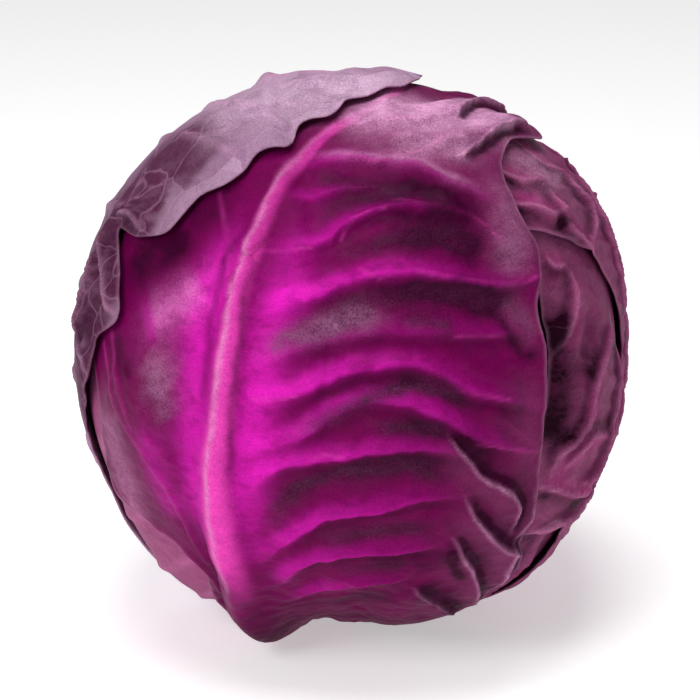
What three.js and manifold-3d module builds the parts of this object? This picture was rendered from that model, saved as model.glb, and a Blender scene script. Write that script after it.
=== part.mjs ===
// A red cabbage head standing on its cut stem: a dense heart, seven wrapper leaves laid over it and the stem stub.
// Millimetres, +Z up, origin in the middle of the stem's cut face. The front of the head faces -Y.
//
// Every surface is a height above the head's middle, read along a direction. A direction is written [east, up]:
// degrees round from the front towards +X, and degrees above the head's middle, on a head that leans back by
// LEAN_BACK. A leaf is a list of stations from its base at the stem to its tip, each with its west edge, its
// midrib and its east edge. Leaves lie over each other in the order of the list below, each riding on the ones
// before it.

import * as THREE from "three";
import { mergeVertices } from "three/addons/utils/BufferGeometryUtils.js";
import Module from "manifold-3d";

// Driving dimensions
const MIDDLE_HEIGHT = 82; // the head's middle above the surface that it stands on
const LEAN_BACK = 10; // degrees
const HEART_RADIUS = 79.3;
const HEART_FLOOR = 11; // the underside of the heart, above the surface
const LEAF_FLOOR = 0.5; // no rib hangs lower than this
const FLOOR_BLEND = 3;
const HEART_SLACK = 0.6; // more clear air under the first leaf
const BLADE = 1.2; // thickness of a leaf's blade
const AIR = 1; // clear air between a leaf and the one under it
const LAYER = BLADE + AIR;
const EDGE_HOLD = 6; // how far past its edge a leaf still holds up the ones over it in full
const EDGE_RAMP = 13; // and how far it does so at all
const NEAR_MIDRIB = 1.25; // above 1, a leaf's faces are finer near its midrib
const COLLAR_ANGLE = 10.45; // degrees off straight down, where the leaves start round the stem
const STEM_ANGLE = 10; // the stem is a cone that points to the head's middle
const STEM_TOP = 26;
const STEM_SIDES = 28;
const BORE_ANGLE = 10.4; // the hole in the heart that the stem rises into
const BORE_TOP = 26.4;

const radians = THREE.MathUtils.degToRad;
const degrees = THREE.MathUtils.radToDeg;
const clamp = THREE.MathUtils.clamp;

// 1 below low, 0 above high, smooth between
const fall = (x, low, high) => 1 - THREE.MathUtils.smoothstep(x, low, high);

function upright(east, up) {
  const e = radians(east);
  const u = radians(up);
  return new THREE.Vector3(Math.sin(e) * Math.cos(u), -Math.cos(e) * Math.cos(u), Math.sin(u));
}

// A place is [east, up] on the leaning head, or a direction round the stem, which the lean leaves alone.
const leaned = new THREE.Matrix4().makeRotationX(radians(-LEAN_BACK));
const collar = (east) => upright(east, COLLAR_ANGLE - 90);
const direction = (place) => (place.isVector3 ? place.clone() : upright(...place).applyMatrix4(leaned));

// The same direction, or the nearest one on the collar where it would run into the stem.
function clearOfStem(d) {
  const off = Math.atan2(Math.hypot(d.x, d.y), -d.z);
  return off < radians(COLLAR_ANGLE) ? collar(degrees(Math.atan2(d.x, -d.y))) : d;
}

// A smooth curve through directions, as unit vectors.
class HeadCurve {
  constructor(points, perSpan = 5) {
    const spline = new THREE.CatmullRomCurve3(points.map(direction), false, "centripetal");
    this.count = (points.length - 1) * perSpan;
    this.samples = [];
    for (let i = 0; i <= this.count; i++) this.samples.push(spline.getPoint(i / this.count).normalize());
  }

  // The nearest place on the curve: how far away, on which side (positive is left of the way along), how far along.
  nearest(d) {
    let best = { distance: Infinity, side: 0, along: 0 };
    for (let i = 0; i < this.count; i++) {
      const a = this.samples[i];
      const span = this.samples[i + 1].clone().sub(a);
      const share = clamp(d.clone().sub(a).dot(span) / span.lengthSq(), 0, 1);
      const off = d.clone().sub(a).addScaledVector(span, -share);
      const distance = off.length() * MIDDLE_HEIGHT;
      if (distance < best.distance) {
        const side = Math.sign(off.dot(a.clone().cross(span))) || 1;
        best = { distance, side, along: (i + share) / this.count };
      }
    }
    return best;
  }
}

// Raised and sunken features. Each gives a height in mm for a direction.

// A rounded rib along a curve, tapering from its first height and width to its last.
function rib(points, height, width) {
  const curve = new HeadCurve(points);
  return (d) => {
    const near = curve.nearest(d);
    const w = width[0] + (width[1] - width[0]) * near.along;
    const h = height[0] + (height[1] - height[0]) * near.along;
    return h * Math.exp(-((near.distance / w) ** 2));
  };
}

// A pleat: a rib that swells from nothing at its start and fades at its end.
function pleat(points, height, width) {
  const curve = new HeadCurve(points);
  return (d) => {
    const near = curve.nearest(d);
    const swell = Math.sqrt(Math.max(0, Math.sin(Math.PI * clamp(near.along, 0.02, 0.98))));
    return height * swell * Math.exp(-((near.distance / width) ** 2));
  };
}

// A lap: the leaf folds over itself, rising to a rim and dropping off past it. The flap is left of the way along.
const LAP_DROP = 1.1;
const LAP_START = 0.18;
const LAP_END = 0.12;
function lap(points, height, reach) {
  const curve = new HeadCurve(points);
  return (d) => {
    const near = curve.nearest(d);
    const ends = Math.min(1, near.along / LAP_START, (1 - near.along) / LAP_END);
    const width = near.side > 0 ? reach : LAP_DROP;
    return height * Math.max(0, ends) * Math.exp(-near.distance / width);
  };
}

// Soft swellings all over, from a few waves that cross each other.
function swelling(height, phase) {
  return (d) => {
    const across = Math.sin(9 * d.x + 4 * d.z + phase) * Math.sin(8 * d.z - 3 * d.y + 2 * phase);
    const along = Math.sin(11 * d.y + 5 * d.x - phase) * Math.sin(7 * d.x - 6 * d.z + 3 * phase);
    return height * (0.5 + 0.25 * (across + along));
  };
}

// The veins that leave a midrib at the given rows by a rule: they climb as they run out to one edge.
const WEST = 0;
const EAST = 2;
const VEIN_CLIMB = 1.6; // rows
function laterals(stations, edge, rows, height, width) {
  const last = stations.length - 1;
  const spot = (row, share) => {
    const at = clamp(row + VEIN_CLIMB * share * share, 0, last - 0.01);
    const low = Math.floor(at);
    const between = (k) => {
      const a = direction(stations[low][k]);
      return a.lerp(direction(stations[low + 1][k]), at - low).normalize();
    };
    return between(1).lerp(between(edge), share).normalize();
  };
  return rows.map((row) => pleat([0.04, 0.35, 0.65, 0.93].map((share) => spot(row, share)), height, width));
}

// Two hollows are pressed into the head. The one in front of the stem goes through every layer. The deep gap
// beside the front leaf's east edge is only in what lies under that leaf. The heart gives way to both, more widely.
const footLine = [[-2, -74], [1, -62], [2, -50], [4, -42]];
const gapLine = [[42, 22], [43, 8], [44, -6], [44, -18]];
const footHollow = pleat(footLine, 5, 9);
const sideGap = pleat(gapLine, 4.5, 7);
const heartFootHollow = pleat(footLine, 6.5, 15);
const heartSideGap = pleat(gapLine, 6, 14);

// Where the head is fuller or flatter than a ball: the place, the height in mm and its reach in degrees.
const BULGES = [
  [[92, 3], -5, 26],
  [[100, 70], -3.5, 24],
  [[-90, -3], -2.2, 30],
  [[-79, -54], 4.5, 17],
  [[79, -54], 2.2, 16],
].map(([place, height, reach]) => ({ at: direction(place), height, reach: radians(reach) }));

function ballHeight(d) {
  const bulge = (b) => b.height * Math.exp(-((d.angleTo(b.at) / b.reach) ** 2));
  const ball = BULGES.reduce((sum, b) => sum + bulge(b), HEART_RADIUS);
  const floor = (MIDDLE_HEIGHT - HEART_FLOOR) / Math.max(-d.z, 0.05);
  return -FLOOR_BLEND * Math.log(Math.exp(-ball / FLOOR_BLEND) + Math.exp(-floor / FLOOR_BLEND));
}

const heartHeight = (d) => ballHeight(d) - HEART_SLACK - heartFootHollow(d) - heartSideGap(d);

// One leaf: its outline on the head, what it carries, and how much its edges stand off.
class Leaf {
  constructor({ name, color, rows, columns, stations, ribs, edgeLift, overGap = false }) {
    this.name = name;
    this.color = color;
    this.rows = rows;
    this.columns = columns;
    this.ribs = ribs;
    this.edgeLift = edgeLift;
    this.overGap = overGap;
    this.lines = [0, 1, 2].map((k) => new THREE.CatmullRomCurve3(stations.map((s) => direction(s[k]))));
    const steps = 4 * (stations.length - 1);
    const walk = (line, from, to) =>
      Array.from({ length: steps }, (_, i) => line.getPoint(from + ((to - from) * i) / steps).normalize());
    this.outline = [...walk(this.lines[0], 0, 1), ...walk(this.lines[2], 1, 0)];
    this.outline.splice(steps, 0, this.lines[0].getPoint(1).normalize(), this.lines[1].getPoint(1).normalize());
    this.outline.push(this.lines[2].getPoint(0).normalize(), this.lines[1].getPoint(0).normalize());
    this.centre = this.lines[1].getPoint(0.5).normalize();
    this.east = new THREE.Vector3(-this.centre.y, this.centre.x, 0).normalize();
    this.north = this.centre.clone().cross(this.east);
    this.flat = this.outline.map((p) => this.flatten(p));
  }

  // Distance and bearing from the leaf's centre, as a flat point.
  flatten(d) {
    const x = d.dot(this.east);
    const y = d.dot(this.north);
    const scale = Math.acos(clamp(d.dot(this.centre), -1, 1)) / Math.max(Math.hypot(x, y), 1e-9);
    return [x * scale, y * scale];
  }

  // Distance in mm past the outline, negative inside it.
  past(d) {
    const [x, y] = this.flatten(d);
    let inside = false;
    let least = Infinity;
    for (let i = 0, j = this.outline.length - 1; i < this.outline.length; j = i++) {
      const [xa, ya] = this.flat[i];
      const [xb, yb] = this.flat[j];
      if (ya > y !== yb > y && x < ((xb - xa) * (y - ya)) / (yb - ya) + xa) inside = !inside;
      const a = this.outline[i];
      const span = this.outline[j].clone().sub(a);
      const share = clamp(d.clone().sub(a).dot(span) / Math.max(span.lengthSq(), 1e-12), 0, 1);
      least = Math.min(least, d.clone().sub(a).addScaledVector(span, -share).length());
    }
    return (inside ? -least : least) * MIDDLE_HEIGHT;
  }

  cover(d) {
    return fall(this.past(d), EDGE_HOLD, EDGE_RAMP);
  }

  // The direction at a share across (-1 west edge, 0 midrib, 1 east edge) and along (0 base, 1 tip).
  spot(across, along) {
    const mid = this.lines[1].getPoint(along).normalize();
    const edge = this.lines[across < 0 ? 0 : 2].getPoint(along).normalize();
    const share = Math.abs(across);
    const angle = mid.angleTo(edge);
    if (angle < 1e-6) return mid;
    const a = Math.sin((1 - share) * angle) / Math.sin(angle);
    const b = Math.sin(share * angle) / Math.sin(angle);
    return clearOfStem(mid.multiplyScalar(a).addScaledVector(edge, b).normalize());
  }
}

const stationsFront = [
  [collar(-72), collar(-45), collar(-4)],
  [[-57, -66], [-43, -66], [30, -68]],
  [[-48, -52], [-35, -51], [46, -57]],
  [[-41, -42], [-30, -42], [47, -49]],
  [[-45, -34], [-29, -35], [43, -40]],
  [[-55, -30], [-28, -28], [40, -32]],
  [[-64, -25], [-27, -21], [41, -25]],
  [[-61, -15], [-26, -13], [39, -16]],
  [[-60, -5], [-24, -5], [38, -7]],
  [[-62, 4], [-23, 4], [39, 3]],
  [[-63, 14], [-22, 13], [38, 14]],
  [[-63, 24], [-21, 22], [39, 22]],
  [[-61, 34], [-19, 31], [37, 32]],
  [[-57, 44], [-17, 40], [39, 41]],
  [[-51, 53], [-14, 48], [50, 48]],
  [[-42, 62], [-8, 56], [70, 48]],
  [[-26, 69], [4, 63], [88, 56]],
  [[0, 75], [24, 70], [94, 64]],
  [[24, 79], [50, 75], [86, 72]],
];
const stationsWrapper = [
  [collar(-168), collar(-136), collar(-104)],
  [[-188, -58], [-134, -60], [-95, -58]],
  [[-198, -40], [-132, -43], [-87, -38]],
  [[-200, -26], [-132, -30], [-80, -20]],
  [[-201, -16], [-132, -20], [-70, -8]],
  [[-201, -8], [-132, -12], [-61, -1]],
  [[-200, 0], [-132, -4], [-57, 7]],
  [[-199, 8], [-132, 3], [-50, 11]],
  [[-198, 15], [-132, 10], [-52, 19]],
  [[-196, 22], [-132, 17], [-59, 28]],
  [[-194, 29], [-132, 23], [-51, 27]],
  [[-191, 35], [-132, 29], [-42, 29]],
  [[-188, 41], [-132, 35], [-37, 36]],
  [[-184, 47], [-131, 41], [-28, 41]],
  [[-179, 53], [-130, 47], [-25, 47]],
  [[-174, 58], [-128, 53], [-18, 49]],
  [[-168, 63], [-126, 59], [-17, 57]],
  [[-160, 68], [-122, 66], [-7, 60]],
  [[-150, 72], [-108, 73], [0, 67]],
  [[-150, 77], [-80, 80], [20, 70]],
  [[-150, 82], [-15, 84], [46, 72]],
  [[-180, 86], [60, 83], [80, 75]],
];
const stationsUpperEast = [
  [collar(96), collar(122), collar(146)],
  [[93, -58], [122, -60], [150, -58]],
  [[90, -40], [121, -44], [152, -42]],
  [[87, -22], [121, -30], [153, -28]],
  [[82, -5], [120, -17], [154, -15]],
  [[75, 9], [119, -5], [154, -3]],
  [[66, 19], [118, 6], [154, 8]],
  [[56, 25], [117, 16], [154, 19]],
  [[47, 28], [116, 25], [153, 29]],
  [[34, 31], [115, 34], [152, 39]],
  [[26, 40], [113, 43], [150, 49]],
  [[22, 50], [111, 52], [148, 58]],
  [[24, 60], [108, 62], [145, 67]],
  [[35, 69], [104, 71], [142, 75]],
  [[60, 76], [98, 79], [138, 80]],
];
const stationsEast = [
  [collar(78), collar(102), collar(128)],
  [[77, -62], [102, -64], [130, -62]],
  [[73, -48], [102, -52], [132, -50]],
  [[64, -35], [101, -42], [133, -40]],
  [[54, -30], [101, -33], [134, -31]],
  [[45, -33], [100, -25], [134, -22]],
  [[37, -26], [100, -17], [134, -13]],
  [[39, -15], [99, -8], [134, -4]],
  [[43, -5], [98, 1], [134, 6]],
  [[44, 6], [98, 11], [133, 16]],
  [[43, 16], [97, 21], [132, 26]],
  [[42, 25], [96, 31], [131, 36]],
  [[40, 35], [95, 41], [128, 46]],
  [[46, 45], [93, 50], [123, 54]],
  [[60, 53], [92, 58], [115, 60]],
];
const stationsBack = [
  [collar(114), collar(142), collar(167)],
  [[109, -60], [141, -61], [186, -60]],
  [[108, -44], [140, -46], [194, -44]],
  [[107, -28], [140, -31], [198, -29]],
  [[107, -13], [139, -17], [200, -14]],
  [[107, 2], [139, -3], [200, 0]],
  [[108, 16], [138, 10], [199, 13]],
  [[108, 29], [138, 23], [197, 26]],
  [[109, 41], [138, 36], [197, 40]],
  [[111, 52], [138, 48], [201, 52]],
  [[113, 62], [141, 60], [206, 62]],
  [[104, 69], [143, 69], [214, 68]],
  [[82, 74], [146, 77], [224, 73]],
  [[50, 78], [150, 85], [238, 76]],
  [[12, 80], [-40, 87], [256, 79]],
  [[-14, 80], [-40, 80], [-72, 80]],
];
const stationsWest = [
  [collar(-130), collar(-100), collar(-76)],
  [[-146, -60], [-101, -60], [-46, -62]],
  [[-154, -43], [-102, -43], [-26, -46]],
  [[-158, -26], [-102, -26], [-16, -30]],
  [[-160, -8], [-102, -9], [-12, -12]],
  [[-160, 10], [-102, 8], [-12, 6]],
  [[-158, 27], [-102, 25], [-15, 24]],
  [[-153, 43], [-101, 41], [-22, 40]],
  [[-144, 57], [-99, 55], [-36, 54]],
  [[-126, 67], [-96, 66], [-60, 65]],
];
const stationsInner = [
  [collar(14), collar(56), collar(92)],
  [[8, -62], [57, -62], [104, -62]],
  [[4, -45], [58, -46], [111, -45]],
  [[2, -28], [58, -30], [114, -28]],
  [[3, -10], [58, -13], [115, -10]],
  [[5, 8], [57, 5], [114, 8]],
  [[10, 24], [56, 21], [110, 24]],
  [[20, 38], [54, 36], [98, 38]],
  [[36, 48], [52, 48], [76, 47]],
];

const midrib = (stations, height, width) => rib(stations.map((s) => s[1]), height, width);

// The pleats between the front leaf's lateral veins, east of its midrib, from the top down, and west of it.
const frontPleats = [
  [[-10, 52], [-3, 58], [12, 59], [29, 57], [45, 58]],
  [[2, 53], [17, 52], [31, 49], [43, 49]],
  [[-14, 48], [2, 47], [10, 45], [18, 42], [30, 34]],
  [[-14, 26], [-2, 29], [2, 34], [15, 35], [30, 34]],
  [[-18, 14], [-7, 17], [0, 19], [13, 22], [30, 19], [38, 19]],
  [[-17, 1], [-10, 5], [1, 9], [17, 10], [35, 10]],
  [[-19, -2], [-10, 0], [2, 5], [15, 5], [23, 0], [38, -4]],
  [[-20, -14], [-11, -9], [0, -3], [12, -1], [24, -6], [36, -12]],
  [[-20, -20], [-10, -13], [-1, -11], [13, -11], [23, -13]],
  [[-20, -31], [-11, -27], [2, -23], [13, -21], [24, -20]],
  [[-20, -41], [-9, -36], [5, -34], [13, -32], [22, -29]],
  [[-20, -49], [-1, -43], [9, -41], [18, -37]],
];
const frontPleatsWest = [
  [[-23, 14], [-26, 24], [-30, 32], [-34, 38]],
  [[-25, 2], [-31, 14], [-36, 20], [-46, 22]],
  [[-26, -8], [-29, 4], [-36, 9], [-47, 13]],
  [[-29, -34], [-34, -22], [-42, -13], [-51, -1], [-57, 8]],
];
// Where the front leaf's crowded east side laps over itself. Each flap is left of the way along.
const frontLaps = [
  [[38, -33], [34, -22], [29, -17], [22, -13], [18, -6]],
  [[42, -37], [37, -31], [28, -26], [25, -21], [20, -19]],
  [[44, -54], [35, -44], [29, -37], [22, -28]],
  [[38, -56], [23, -47], [16, -43]],
];
const frontTopLaps = [
  [[42, 57], [60, 62], [68, 61], [88, 57]],
  [[20, 47], [32, 46], [41, 48], [53, 49], [64, 48]],
];

// From the innermost leaf to the outermost
const leaves = [
  new Leaf({
    name: "leaf_inner_east",
    color: 0x4a0a36,
    rows: 16,
    columns: 13,
    stations: stationsInner,
    ribs: [midrib(stationsInner, [3, 0.5], [5, 2])],
    edgeLift: 0.5,
  }),
  new Leaf({
    name: "leaf_west",
    color: 0x6f2350,
    rows: 18,
    columns: 19,
    stations: stationsWest,
    ribs: [
      midrib(stationsWest, [3.5, 0.6], [5.5, 2]),
      ...laterals(stationsWest, EAST, [0.6, 1.6, 2.8], 1.6, 3.5),
    ],
    edgeLift: 0.8,
  }),
  new Leaf({
    name: "leaf_east",
    color: 0x7d2a5b,
    rows: 24,
    columns: 17,
    stations: stationsEast,
    ribs: [
      midrib(stationsEast, [3.5, 0.6], [5, 2]),
      pleat([[49, 22], [62, 19], [68, 12], [58, 1], [52, -6], [47, -20]], 3, 3.2),
      pleat([[76, 12], [67, 2], [57, -6], [51, -16], [47, -27]], 2.2, 3),
      pleat([[84, 0], [72, -12], [60, -22], [52, -29]], 2, 3),
      ...laterals(stationsEast, WEST, [1, 3], 1.4, 3),
    ],
    edgeLift: 2,
  }),
  new Leaf({
    name: "leaf_upper_east",
    color: 0x7e3a66,
    rows: 24,
    columns: 17,
    stations: stationsUpperEast,
    ribs: [
      midrib(stationsUpperEast, [3.5, 0.6], [5, 2]),
      pleat([[62, 52], [56, 40], [54, 29], [60, 22]], 2.6, 2.8),
      pleat([[74, 46], [70, 34], [66, 24]], 2.4, 2.8),
      pleat([[42, 43], [48, 36], [58, 31], [70, 28]], 2, 2.6),
      pleat([[86, 52], [82, 36], [78, 18], [80, 2]], 2.4, 3.4),
      ...laterals(stationsUpperEast, WEST, [1, 3, 5], 1.6, 3.4),
    ],
    edgeLift: 3.5,
    overGap: true,
  }),
  new Leaf({
    name: "leaf_back",
    color: 0x86215f,
    rows: 22,
    columns: 19,
    stations: stationsBack,
    ribs: [
      midrib(stationsBack, [4.5, 0.8], [6, 2.2]),
      ...laterals(stationsBack, WEST, [0.8, 2, 3.2, 4.5, 5.8, 7.2], 2, 3.6),
      ...laterals(stationsBack, EAST, [1.2, 2.5, 3.8, 5.2, 6.6], 2, 3.6),
    ],
    edgeLift: 2.2,
    overGap: true,
  }),
  new Leaf({
    name: "leaf_front",
    color: 0xa81482,
    rows: 40,
    columns: 27,
    stations: stationsFront,
    ribs: [
      midrib(stationsFront, [6, 1.1], [9.5, 2.4]),
      ...frontPleats.map((points) => pleat(points, 2.6, 3.6)),
      ...frontPleatsWest.map((points) => pleat(points, 1.6, 4)),
      ...frontLaps.map((points) => lap(points, 3, 9)),
      ...frontTopLaps.map((points) => lap(points, 3.4, 10)),
      swelling(1.2, 0.4),
    ],
    edgeLift: 1.2,
    overGap: true,
  }),
  new Leaf({
    name: "leaf_wrapper",
    color: 0x8a5f86,
    rows: 44,
    columns: 21,
    stations: stationsWrapper,
    ribs: [
      midrib(stationsWrapper, [5.5, 0.8], [6.5, 2.2]),
      ...laterals(stationsWrapper, EAST, [2, 4.5, 7, 9.5, 12, 14], 1.3, 3),
      ...laterals(stationsWrapper, WEST, [1, 3, 5.5, 8, 10.5, 13], 1.8, 3.6),
      pleat([[-66, 24], [-63, 12], [-60, 5]], 2, 2.2),
      pleat([[-72, 26], [-74, 12], [-68, 0]], 2, 2.4),
      pleat([[-56, 35], [-50, 36], [-46, 31]], 1.6, 2),
      swelling(0.8, 1.7),
    ],
    edgeLift: 1.1,
    overGap: true,
  }),
];

// A leaf's edges stand off the head in soft waves, except round the stem.
const EDGE_REACH = 5;
function edgeHeight(leaf, d) {
  const wave = Math.sin(29 * (d.x + d.z)) * Math.sin(25 * (d.y - d.z));
  const awayFromStem = THREE.MathUtils.smoothstep(d.z, -0.9, -0.6);
  const inside = Math.max(0, -leaf.past(d));
  return leaf.edgeLift * (1 + 0.5 * wave) * Math.exp(-inside / EDGE_REACH) * awayFromStem;
}

// The heights of a leaf's two faces along a direction.
function facesOf(leaf, place, d) {
  const covers = leaves.map((other) => other.cover(d));
  let inner = ballHeight(d) + AIR - footHollow(d) - (leaf.overGap ? 0 : sideGap(d));
  let press = 1;
  covers.forEach((cover, k) => {
    if (k < place) inner += LAYER * cover;
    if (k > place) press *= 1 - cover;
  });
  const relief = leaf.ribs.reduce((sum, ribHeight) => sum + ribHeight(d), 0);
  const lowest = (MIDDLE_HEIGHT - LEAF_FLOOR) / Math.max(-d.z, 0.05);
  const raised = inner + press * edgeHeight(leaf, d);
  return [Math.min(raised + BLADE + press * relief, Math.max(lowest, raised + BLADE)), raised];
}

// A leaf as one closed skin: its outer face, its inner face and the edge that joins them.
function leafGeometry(leaf, place) {
  const { rows, columns } = leaf;
  const count = rows * columns;
  const positions = new Float32Array(count * 2 * 3);
  for (let row = 0; row < rows; row++) {
    for (let column = 0; column < columns; column++) {
      const across = (2 * column) / (columns - 1) - 1;
      const d = leaf.spot(Math.sign(across) * Math.abs(across) ** NEAR_MIDRIB, row / (rows - 1));
      facesOf(leaf, place, d).forEach((height, face) => {
        const at = d.clone().multiplyScalar(height);
        at.z += MIDDLE_HEIGHT;
        at.toArray(positions, 3 * (face * count + row * columns + column));
      });
    }
  }
  const index = [];
  const quad = (a, b, c, d) => index.push(a, b, c, a, c, d);
  for (let row = 0; row < rows - 1; row++) {
    for (let column = 0; column < columns - 1; column++) {
      const a = row * columns + column;
      const [b, c, d] = [a + 1, a + columns + 1, a + columns];
      index.push(a, b, c, a, c, d);
      index.push(count + a, count + c, count + b, count + a, count + d, count + c);
    }
  }
  const edge = [];
  for (let column = 0; column < columns - 1; column++) edge.push(column);
  for (let row = 0; row < rows - 1; row++) edge.push(row * columns + columns - 1);
  for (let column = columns - 1; column > 0; column--) edge.push((rows - 1) * columns + column);
  for (let row = rows - 1; row > 0; row--) edge.push(row * columns);
  edge.forEach((a, i) => {
    const b = edge[(i + 1) % edge.length];
    quad(a, count + a, count + b, b);
  });
  const geometry = new THREE.BufferGeometry();
  geometry.setAttribute("position", new THREE.BufferAttribute(positions, 3));
  geometry.setIndex(index);
  return geometry;
}

const wasm = await Module();
wasm.setup();

function solidOf(geometry) {
  const bare = geometry.clone();
  bare.deleteAttribute("normal");
  bare.deleteAttribute("uv");
  const merged = mergeVertices(bare, 1e-4);
  return new wasm.Manifold(
    new wasm.Mesh({
      numProp: 3,
      vertProperties: merged.attributes.position.array,
      triVerts: new Uint32Array(merged.index.array),
    }),
  );
}

function geometryOf(solid) {
  const { vertProperties, triVerts } = solid.getMesh();
  const geometry = new THREE.BufferGeometry();
  geometry.setAttribute("position", new THREE.BufferAttribute(vertProperties, 3));
  geometry.setIndex(new THREE.BufferAttribute(triVerts, 1));
  return geometry;
}

// A cone that narrows upwards to the head's middle, cut between two heights.
function coneGeometry(angle, low, high, sides) {
  const slope = Math.tan(radians(angle));
  const profile = [
    new THREE.Vector2(0, low),
    new THREE.Vector2((MIDDLE_HEIGHT - low) * slope, low),
    new THREE.Vector2((MIDDLE_HEIGHT - high) * slope, high),
    new THREE.Vector2(0, high),
  ];
  const cone = new THREE.LatheGeometry(profile, sides);
  cone.rotateX(Math.PI / 2);
  return cone;
}

function heartGeometry() {
  const ball = new THREE.IcosahedronGeometry(1, 6);
  ball.deleteAttribute("normal");
  ball.deleteAttribute("uv");
  const merged = mergeVertices(ball, 1e-4);
  const place = merged.attributes.position;
  const d = new THREE.Vector3();
  for (let i = 0; i < place.count; i++) {
    d.fromBufferAttribute(place, i).normalize();
    d.multiplyScalar(heartHeight(d));
    place.setXYZ(i, d.x, d.y, d.z + MIDDLE_HEIGHT);
  }
  const bore = solidOf(coneGeometry(BORE_ANGLE, -1, BORE_TOP, STEM_SIDES));
  return geometryOf(solidOf(merged).subtract(bore));
}

const head = new THREE.Group();

function addPiece(name, geometry, color, roughness) {
  const material = new THREE.MeshStandardMaterial({ color, roughness, metalness: 0 });
  const mesh = new THREE.Mesh(geometry, material);
  mesh.name = name;
  head.add(mesh);
}

addPiece("stem", coneGeometry(STEM_ANGLE, 0, STEM_TOP, STEM_SIDES), 0xcdbfae, 0.8);
addPiece("heart", heartGeometry(), 0x7a1458, 0.5);
leaves.forEach((leaf, place) => addPiece(leaf.name, leafGeometry(leaf, place), leaf.color, 0.45));

export default head;
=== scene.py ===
"""A red cabbage head standing on its cut stem, in plain soft studio light.

Every leaf is a closed sheet laid over the head. Its height above the head's middle is read along a
direction, and each leaf rides on the ones before it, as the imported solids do. A place on the head is
(east, up): degrees round from the front towards +X, and degrees above the head's middle, on a head
that leans back. Lengths in the shapes are millimetres until a mesh is made, and metres after that.
"""

import itertools
import logging
import math
from dataclasses import dataclass, field
from enum import Enum
from functools import cached_property

import bpy
import numpy as np
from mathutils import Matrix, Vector


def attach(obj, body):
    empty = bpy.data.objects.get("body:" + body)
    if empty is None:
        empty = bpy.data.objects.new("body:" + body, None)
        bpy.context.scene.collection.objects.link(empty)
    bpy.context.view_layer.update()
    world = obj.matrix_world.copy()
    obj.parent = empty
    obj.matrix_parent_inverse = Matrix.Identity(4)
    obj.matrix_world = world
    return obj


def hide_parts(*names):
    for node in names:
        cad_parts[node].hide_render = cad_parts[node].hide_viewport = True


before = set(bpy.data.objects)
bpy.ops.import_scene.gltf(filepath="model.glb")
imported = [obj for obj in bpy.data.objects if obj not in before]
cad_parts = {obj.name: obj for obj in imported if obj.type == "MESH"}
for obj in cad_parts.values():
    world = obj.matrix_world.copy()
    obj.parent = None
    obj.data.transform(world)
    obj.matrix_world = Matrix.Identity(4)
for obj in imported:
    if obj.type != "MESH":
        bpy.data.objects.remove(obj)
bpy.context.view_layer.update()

log = logging.getLogger("cabbage")

Place = tuple[float, ...]
Colour = tuple[float, float, float]

METRE = 0.001  # one millimetre
NUMBER = "NodeSocketFloat"  # the type of a socket that takes a number

# The head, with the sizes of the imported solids
MIDDLE_HEIGHT = 82.0
LEAN_BACK = math.radians(10.0)
HEART_RADIUS = 79.3
HEART_FLOOR = 11.0
LEAF_FLOOR = 0.5
FLOOR_BLEND = 3.0
BLADE = 1.2
AIR = 1.0
LAYER = BLADE + AIR
EDGE_HOLD = 6.0
EDGE_RAMP = 13.0
COLLAR_ANGLE = math.radians(10.45)
EDGE_REACH = 5.0
LAP_START = 0.18
LAP_END = 0.12
VEIN_CLIMB = 1.6
STEEPEST = 0.05  # the least downward share of a direction that is still cut off at a floor

# What only the dressed head has
RIM_THICKNESS = 0.5
EDGE_DROP = 0.6  # how much closer a leaf's margin lies to the leaf under it
EDGE_DROP_REACH = 4.0
LAP_DROP = 0.4  # how far past its rim a lap falls away
COARSE_STEP = 3  # every so many columns, for the soft fields
HIDDEN_STEP = 3  # the hidden face has every so many of the outer face's columns
RIM_REACH = 0.6  # how wide the lighter line along a leaf's edge is
RIM_LIGHT = 0.25  # how light it is
CALM_EDGE = 0.8  # how much less a leaf is crumpled at its edge
CALM_REACH = 3.0
THICK_REACH = 4.0  # how far in from its edge a leaf gets its full thickness
BACK_REACH = 6.0  # how far in the hidden face stops following the relief
CREASE_LIGHT = 0.4  # how strongly highlights are painted on the crests of the crumpling
CREASE_DARK = 0.5  # how strongly shade is painted in its hollows
FOOT_FADE = (0.08, 0.26)  # where along a midrib its colour comes in
TIP_FADE = (0.35, 0.75)  # where half of it goes again


def upright(east: np.ndarray | float, up: np.ndarray | float) -> np.ndarray:
    """The direction of a place on a head that doesn't lean."""
    e, u = np.radians(east), np.radians(up)
    return np.stack([np.sin(e) * np.cos(u), -np.cos(e) * np.cos(u), np.sin(u) + 0 * e], axis=-1)


def collar(east: float) -> Place:
    """The direction of a point on the collar round the stem, which the lean leaves alone."""
    return tuple(float(v) for v in upright(east, math.degrees(COLLAR_ANGLE) - 90))


def direction(place: Place) -> np.ndarray:
    """Turn a place into a unit vector.

    Args:
        place: (east, up) on the leaning head, or a vector from collar().

    Returns:
        The direction from the head's middle.
    """
    if len(place) == 3:
        return np.array(place)
    x, y, z = upright(*place)
    c, s = math.cos(-LEAN_BACK), math.sin(-LEAN_BACK)
    return np.array([x, y * c - z * s, y * s + z * c])


def unit(vectors: np.ndarray) -> np.ndarray:
    """The vectors at unit length."""
    return vectors / np.maximum(np.linalg.norm(vectors, axis=-1, keepdims=True), 1e-12)


def smoothstep(x: np.ndarray, low: float, high: float) -> np.ndarray:
    """0 below low, 1 above high, smooth between."""
    t = np.clip((x - low) / (high - low), 0, 1)
    return t * t * (3 - 2 * t)


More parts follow.
